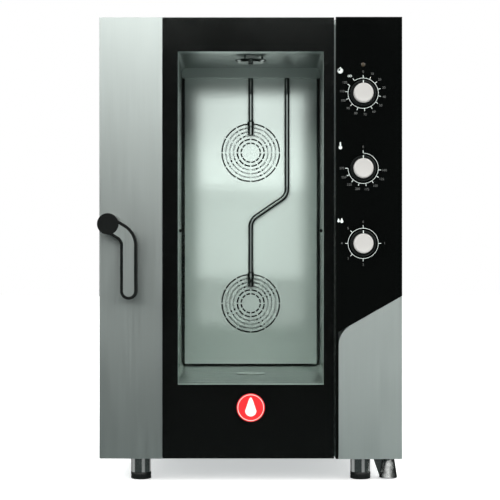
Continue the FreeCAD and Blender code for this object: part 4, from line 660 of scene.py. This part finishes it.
# %% Dials
RING, RING_WIDTH = 37 * MM, 0.95 * MM
TICK, TICK_WIDTH = 6.2 * MM, 1.3 * MM
FIGURES, FIGURE_HEIGHT = 51.5 * MM, 8 * MM
POINTER, POINTER_WIDTH, POINTER_LENGTH = 27.6 * MM, 2.2 * MM, 6.6 * MM


def dial(knob, start, end, ticks, figures):
    """Prints one knob's scale and pointer, and returns the dial's centre. figures are (angle, text)."""
    low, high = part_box(f"{knob}_knob_skirt")
    x, _, z = middle_of(low, high)
    centre = (x, front_y - INK, z)
    marks = [arc(centre, RING, RING_WIDTH, start, end)]
    marks += [bar(centre, angle, RING + TICK / 2, TICK_WIDTH, TICK) for angle in ticks]
    printed(f"{knob}_scale", marks, dial_white, "casing")
    texts = [words(around(centre, angle, FIGURES), text, FIGURE_HEIGHT) for angle, text in figures]
    printed(f"{knob}_figures", texts, dial_grey, "casing")
    pointer = bar((x, low.y - INK, z), 0, POINTER, POINTER_WIDTH, POINTER_LENGTH)
    printed(f"{knob}_pointer", [pointer], dial_white, f"{knob}_knob")
    return centre


NO_END = -35
TEN_MINUTES = 25
minutes = [(TEN_MINUTES * count, str(10 * count)) for count in range(13)]
timer_at = dial("timer", NO_END, 300, [NO_END, *(angle for angle, text in minutes)], minutes)
FIRST_HEAT, LAST_HEAT = 95.6, 270.0
heat_texts = ("100", "125", "150", "175", "200", "225", "250", "270")
heat_step = (LAST_HEAT - FIRST_HEAT) / (len(heat_texts) - 1)
heats = [FIRST_HEAT + heat_step * index for index in range(len(heat_texts))]
thermostat_at = dial("thermostat", 0, 270, [0, *heats], [(0, "0"), *zip(heats, heat_texts)])
damp_angles = (0, 90, 180, 225, 270, 315)
damps = [(angle, str(index)) for index, angle in enumerate(damp_angles)]
humidity_at = dial("humidity", 0, 360, damp_angles, damps)
print("dial centres", [tuple(round(v, 3) for v in at) for at in (timer_at, thermostat_at, humidity_at)])

# %% [markdown]
# Signs beside the dials tell a cook which is which without words: a clock face, a thermometer and two
# drops. The timer also has the sign for "no end", drawn as two small rings side by side.

# %% Signs
SIGN_LEFT = 55 * MM
SIGN_UP = 54 * MM


def sign_centre(dial_centre):
    """Where a sign stands, up and to the left of its dial."""
    return Vector((dial_centre[0] - SIGN_LEFT, dial_centre[1], dial_centre[2] + SIGN_UP))


def clock_sign(at):
    """A rim, three quarters of a face, and the button on top."""
    rim = arc(at, 6.6 * MM, 1.0 * MM)
    return [rim, arc(at, 5.0 * MM, 4.9 * MM, 0, 270), bar(at, 0, 7.6 * MM, 2.2 * MM, 2 * MM)]


def thermometer_sign(at):
    """A bulb, a stem and the stem's round end."""
    bulb = Vector((at.x, at.y, at.z - 4 * MM))
    stem = [disc(bulb, 4.2 * MM), bar(bulb, 0, 7 * MM, 3.2 * MM, 9 * MM)]
    return stem + [disc(around(bulb, 0, 11.5 * MM), 1.6 * MM)]


def drops_sign(at):
    """A large drop and a small one, as (angle, distance, radius, pull)."""
    both = ((110, 3.6 * MM, 3.6 * MM, 4.5 * MM), (262, 4.4 * MM, 2.8 * MM, 4 * MM))
    return [disc(around(at, angle, away), radius, pull) for angle, away, radius, pull in both]


marks = clock_sign(sign_centre(timer_at))
marks += thermometer_sign(sign_centre(thermostat_at))
marks += drops_sign(sign_centre(humidity_at))
ENDLESS_ANGLE, ENDLESS_AWAY, ENDLESS_RING = -38, 52.5 * MM, 2.6 * MM
endless_at = around(timer_at, ENDLESS_ANGLE, ENDLESS_AWAY)
for side in (-90, 90):
    marks.append(arc(around(endless_at, side, ENDLESS_RING), ENDLESS_RING, 0.8 * MM))
signs = printed("dial_signs", marks, dial_white, "casing")
print("signs joined from", len(marks), "marks")

# %% [markdown]
# ## Badge
# The badge is a disc of red enamel. A plain white drop and a thin white rim are fired into it as its
# only marks. Their sizes are shares of the badge's radius.

# %% Badge
DROP_DOWN, DROP_SIZE, DROP_PULL = 0.22, 0.4, 0.55
RIM_AT, RIM_WIDTH = 0.93, 0.035
badge_low, badge_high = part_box("door_badge")
badge_radius = (badge_high.x - badge_low.x) / 2
x, _, z = middle_of(badge_low, badge_high)
badge_at = Vector((x, badge_low.y - INK, z))
drop_at = around(badge_at, 180, badge_radius * DROP_DOWN)
drop = [disc(drop_at, badge_radius * DROP_SIZE, badge_radius * DROP_PULL)]
rim = [arc(badge_at, badge_radius * RIM_AT, badge_radius * RIM_WIDTH)]
printed("badge_drop", drop + rim, dial_white, "door")
print("badge radius", round(badge_radius, 4))

# %% [markdown]
# ## Feet
# Each foot is a moulded pad on a threaded stud. The pad has a rounded heel and a fine groove where its
# two halves meet. The CAD foot gives the sizes, and a turned piece takes its place.

# %% Feet
PAD = 17 * MM
STUD_RADIUS = 6 * MM
PAD_RINGS = (
    (0.88, 0.0), (0.95, 0.03), (0.985, 0.09), (1.0, 0.16), (1.0, 0.44), (0.97, 0.47), (0.97, 0.52),
    (1.0, 0.55), (1.0, 0.95), (0.98, 1.0),
)
for corner in CORNERS:
    low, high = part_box(f"{corner}_foot")
    radius = (high.x - low.x) / 2
    rings = [(share * radius, along * PAD) for share, along in PAD_RINGS]
    rings += [(STUD_RADIUS, PAD), (STUD_RADIUS, high.z - low.z)]
    x, y, _ = middle_of(low, high)
    pad = turned(f"{corner}_pad", (x, y, low.z), (0, 0, 1), rings, foot_rubber)
    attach(pad, f"{corner}_foot_pad")
    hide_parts(f"{corner}_foot")
print("four feet, radius", round(radius, 4))

# %% [markdown]
# ## Door gasket
# The seal is a silicone frame: a flat base pressed into its seat, with a hollow bulb that the door
# squeezes. The base is a plate with its middle inset and cut out. The bulb is the same rounded
# rectangle as a curve, which is given a round section and turned into a mesh.

# %% Door gasket
BASE_WIDTH = 7 * MM
BASE_THICK = 1.6 * MM
BULB = 2.3 * MM
BULB_CORNER = 5 * MM


def rounded_plate(low, high, y, corner):
    """An upright plate that faces the front, with round corners. It is left in edit mode."""
    fresh()
    middle = ((low[0] + high[0]) / 2, y, (low[1] + high[1]) / 2)
    bpy.ops.mesh.primitive_plane_add(size=1, location=middle, rotation=TO_FRONT)
    bpy.context.object.scale = (high[0] - low[0], high[1] - low[1], 1)
    plate = settle()
    bpy.ops.object.mode_set(mode="EDIT")
    bpy.ops.mesh.select_all(action="SELECT")
    bpy.ops.mesh.bevel(affect="VERTICES", offset=corner, segments=8)
    return plate


gasket_low, gasket_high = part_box("door_gasket")
outer = ((gasket_low.x, gasket_low.z), (gasket_high.x, gasket_high.z))
base = rounded_plate(*outer, gasket_high.y, BASE_WIDTH)
bpy.ops.mesh.select_all(action="SELECT")
bpy.ops.mesh.inset(thickness=BASE_WIDTH, depth=0)
bpy.ops.mesh.delete(type="FACE")
bpy.ops.mesh.select_all(action="SELECT")
base_depth = Vector((0, gasket_low.y + BASE_THICK - gasket_high.y, 0))
bpy.ops.mesh.extrude_region_move(TRANSFORM_OT_translate={"value": base_depth})
bpy.ops.object.mode_set(mode="OBJECT")
inset = BASE_WIDTH - BULB
bulb_low = (gasket_low.x + inset, gasket_low.z + inset)
bulb_high = (gasket_high.x - inset, gasket_high.z - inset)
bulb = rounded_plate(bulb_low, bulb_high, gasket_low.y + BULB, BULB_CORNER)
bpy.ops.mesh.delete(type="ONLY_FACE")
bpy.ops.object.mode_set(mode="OBJECT")
bpy.ops.object.convert(target="CURVE")
bulb.data.bevel_depth = BULB
bulb.data.bevel_resolution = 5
bpy.ops.object.convert(target="MESH")
gasket = close_up(joined("gasket_seal", [base, bulb], seal_rubber), angle=40)
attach(gasket, "casing")
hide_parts("door_gasket")
print("gasket", [tuple(round(v, 3) for v in corner) for corner in (gasket_low, gasket_high)])

# %% [markdown]
# ## Studio
# The floor is pale and plain, and it isn't part of the object. It glows a little, so that it fades into
# the white backdrop. It is kept out of mirror reflections, so that the steel takes its shading from the
# lights alone, as a sheet does on a dark studio stage.

# %% Floor
FLOOR_SIZE = 30.0
FLOOR_DROP = 0.5 * MM
PAINT = {
    "Base Color": (0.9, 0.9, 0.9, 1),
    "Roughness": 0.9,
    "Emission Color": (1, 1, 1, 1),
    "Emission Strength": 0.45,
}
bpy.ops.mesh.primitive_plane_add(size=FLOOR_SIZE, location=(0, 0, -FLOOR_DROP))
floor = bpy.context.object
floor.name = "floor"
floor.visible_glossy = False
floor_paint, _, floor_shader = finish_of("floor_paint")
for socket, value in PAINT.items():
    floor_shader.inputs[socket].default_value = value
floor.data.materials.append(floor_paint)
print("floor made,", FLOOR_SIZE, "across")

# %% [markdown]
# The world gives the plain backdrop. Reflections see something else: a dark band at eye level, bright
# soft light above it and a dim floor below. Smooth black glass mirrors only the dark band and stays
# black, while ground steel blurs the bands together and shades from bright at the top to dark below.
# The height of a direction, from 0 straight down to 1 straight up, goes through a ramp of bands.

# %% World
world = bpy.data.worlds.new("studio")
bpy.context.scene.world = world
world.use_nodes = True
sky = world.node_tree
direction = add(sky, "ShaderNodeTexCoord").outputs["Generated"]
upward = add(sky, "ShaderNodeSeparateXYZ", {"Vector": direction}).outputs["Z"]
ends = {"Value": upward, "From Min": -1.0, "From Max": 1.0}
level = add(sky, "ShaderNodeMapRange", ends).outputs["Result"]
COOL, PLAIN = (0.78, 1.0, 0.98), (1.0, 1.0, 0.985)
BELOW = ((0.0, 0.1), (0.36, 0.05))
EYE_LEVEL = ((0.46, 0.006), (0.572, 0.006))
ABOVE = ((0.622, 1.0), (0.8, 0.9), (1.0, 0.3))
TINTS = [COOL] * len(BELOW) + [PLAIN] * len(EYE_LEVEL + ABOVE)
BRIGHTEST = 3.8
bands = stepped(sky, level, BELOW + EYE_LEVEL + ABOVE, TINTS, "EASE")
lit = times(sky, bands, (BRIGHTEST,) * 3)
print("world bands", len(TINTS))

# %% [markdown]
# The feet's sleeves are small mirrors that look slightly downwards, where the stage is dark. Upright pale
# cards low round the stage draw the light and dark stripes that tell the eye they are polished and round.
# A radial gradient gives the angle round the stage, and a ramp on it is light where a card stands.
# Another ramp on it dims the soft light behind the oven, so that its top and sides don't glare.

# %% Cards
ROUND_STAGE = (
    (0.0, 0.8), (0.03, 0.8), (0.05, 0.0), (0.275, 0.0), (0.29, 0.6), (0.37, 0.6), (0.39, 0.0),
    (0.58, 0.0), (0.61, 0.9), (0.73, 0.9), (0.75, 0.0), (0.88, 0.0), (0.9, 0.8), (1.0, 0.8),
)
LOW_DOWN = ((0.0, 0.0), (0.38, 0.0), (0.41, 1.0), (0.455, 1.0), (0.47, 0.0), (1.0, 0.0))
DIM_BEHIND = ((0.0, 1.0), (0.5, 1.0), (0.6, 0.4), (0.9, 0.4), (1.0, 1.0))
CARD_LIGHT = 0.55
turn_round = add(sky, "ShaderNodeTexGradient", {"Vector": direction}, gradient_type="RADIAL").outputs["Fac"]
cards = times(sky, stepped(sky, turn_round, ROUND_STAGE), stepped(sky, level, LOW_DOWN))
card_light = times(sky, cards, (CARD_LIGHT,) * 3)
soft_light = times(sky, lit, stepped(sky, turn_round, DIM_BEHIND))
around_us = add(sky, "ShaderNodeVectorMath", {0: soft_light, 1: card_light}, operation="ADD")
seen = add(sky, "ShaderNodeLightPath").outputs["Is Camera Ray"]
backdrop = mixed(sky, seen, around_us.outputs["Vector"], tone(WHITE, 1.0))
feed(sky, sky.nodes["Background"].inputs["Color"], backdrop)
print("cards placed, light", CARD_LIGHT)

# %% [markdown]
# Two large panels at the sides round off the edges, and a third gives the back its light. Inside the
# oven, three panels with a narrow spread stand for the oven's own light. They show the slotted back, and
# leave its rim in shade. Under the ceiling one small panel shines down into the cavity, and another
# shines up at the ceiling.

# %% Lights
def light_panel(name, place, towards, size, power, angle=180.0, tint=WHITE):
    """A rectangular light that isn't seen itself. size is across and up."""
    light = bpy.data.lights.new(name, "AREA")
    light.shape = "RECTANGLE"
    light.size, light.size_y = size
    light.energy = power
    light.color = tint
    light.spread = math.radians(angle)
    panel = bpy.data.objects.new(name, light)
    panel.location = place
    panel.rotation_euler = (Vector(towards) - Vector(place)).to_track_quat("-Z", "Y").to_euler()
    panel.visible_camera = False
    bpy.context.scene.collection.objects.link(panel)
    return panel


STAGE_MIDDLE = (0, 0, 0.5)
SIDE_AWAY, SIDE_SIZE, SIDE_POWER = 2.8, (1.2, 2.2), 6
for name, side in (("left", -1), ("right", 1)):
    light_panel(name, (side * SIDE_AWAY, -0.6, 1.5), STAGE_MIDDLE, SIDE_SIZE, SIDE_POWER, tint=COOL)
BEHIND, BEHIND_SIZE, BEHIND_POWER = (0.6, 2.8, 1.6), (2.4, 1.4), 12
light_panel("behind", BEHIND, STAGE_MIDDLE, BEHIND_SIZE, BEHIND_POWER)
GLOW_GAP, GLOW_WIDTH, GLOW_SPREAD = 0.075, 0.3, 75
GLOWS = (("high", 0.87, 0.26, 0.108), ("middle", 0.61, 0.26, 0.06), ("low", 0.41, 0.12, 0.012))
glow_y = slotted_back_y - GLOW_GAP
for place, height, tall, power in GLOWS:
    size = (GLOW_WIDTH, tall)
    light_panel(f"glow_{place}", (0, glow_y, height), (0, 1, height), size, power, GLOW_SPREAD)
FILL_GAP, FILL_DROP, FILL_SIZE, FILL_POWER = 0.33, 0.03, (0.2, 0.3), 0.1
fill_y = slotted_back_y - FILL_GAP
light_panel("cavity_fill", (0, fill_y, ceiling_z - FILL_DROP), (0, fill_y, 0), FILL_SIZE, FILL_POWER)
UP_GAP, UP_DROP, UP_SIZE, UP_POWER, FAR_UP = 0.2, 0.13, (0.26, 0.1), 0.12, 9
up_y = slotted_back_y - UP_GAP
light_panel("ceiling_glow", (0, up_y, ceiling_z - UP_DROP), (0, up_y, FAR_UP), UP_SIZE, UP_POWER)
print("lights set:", len(bpy.data.lights))
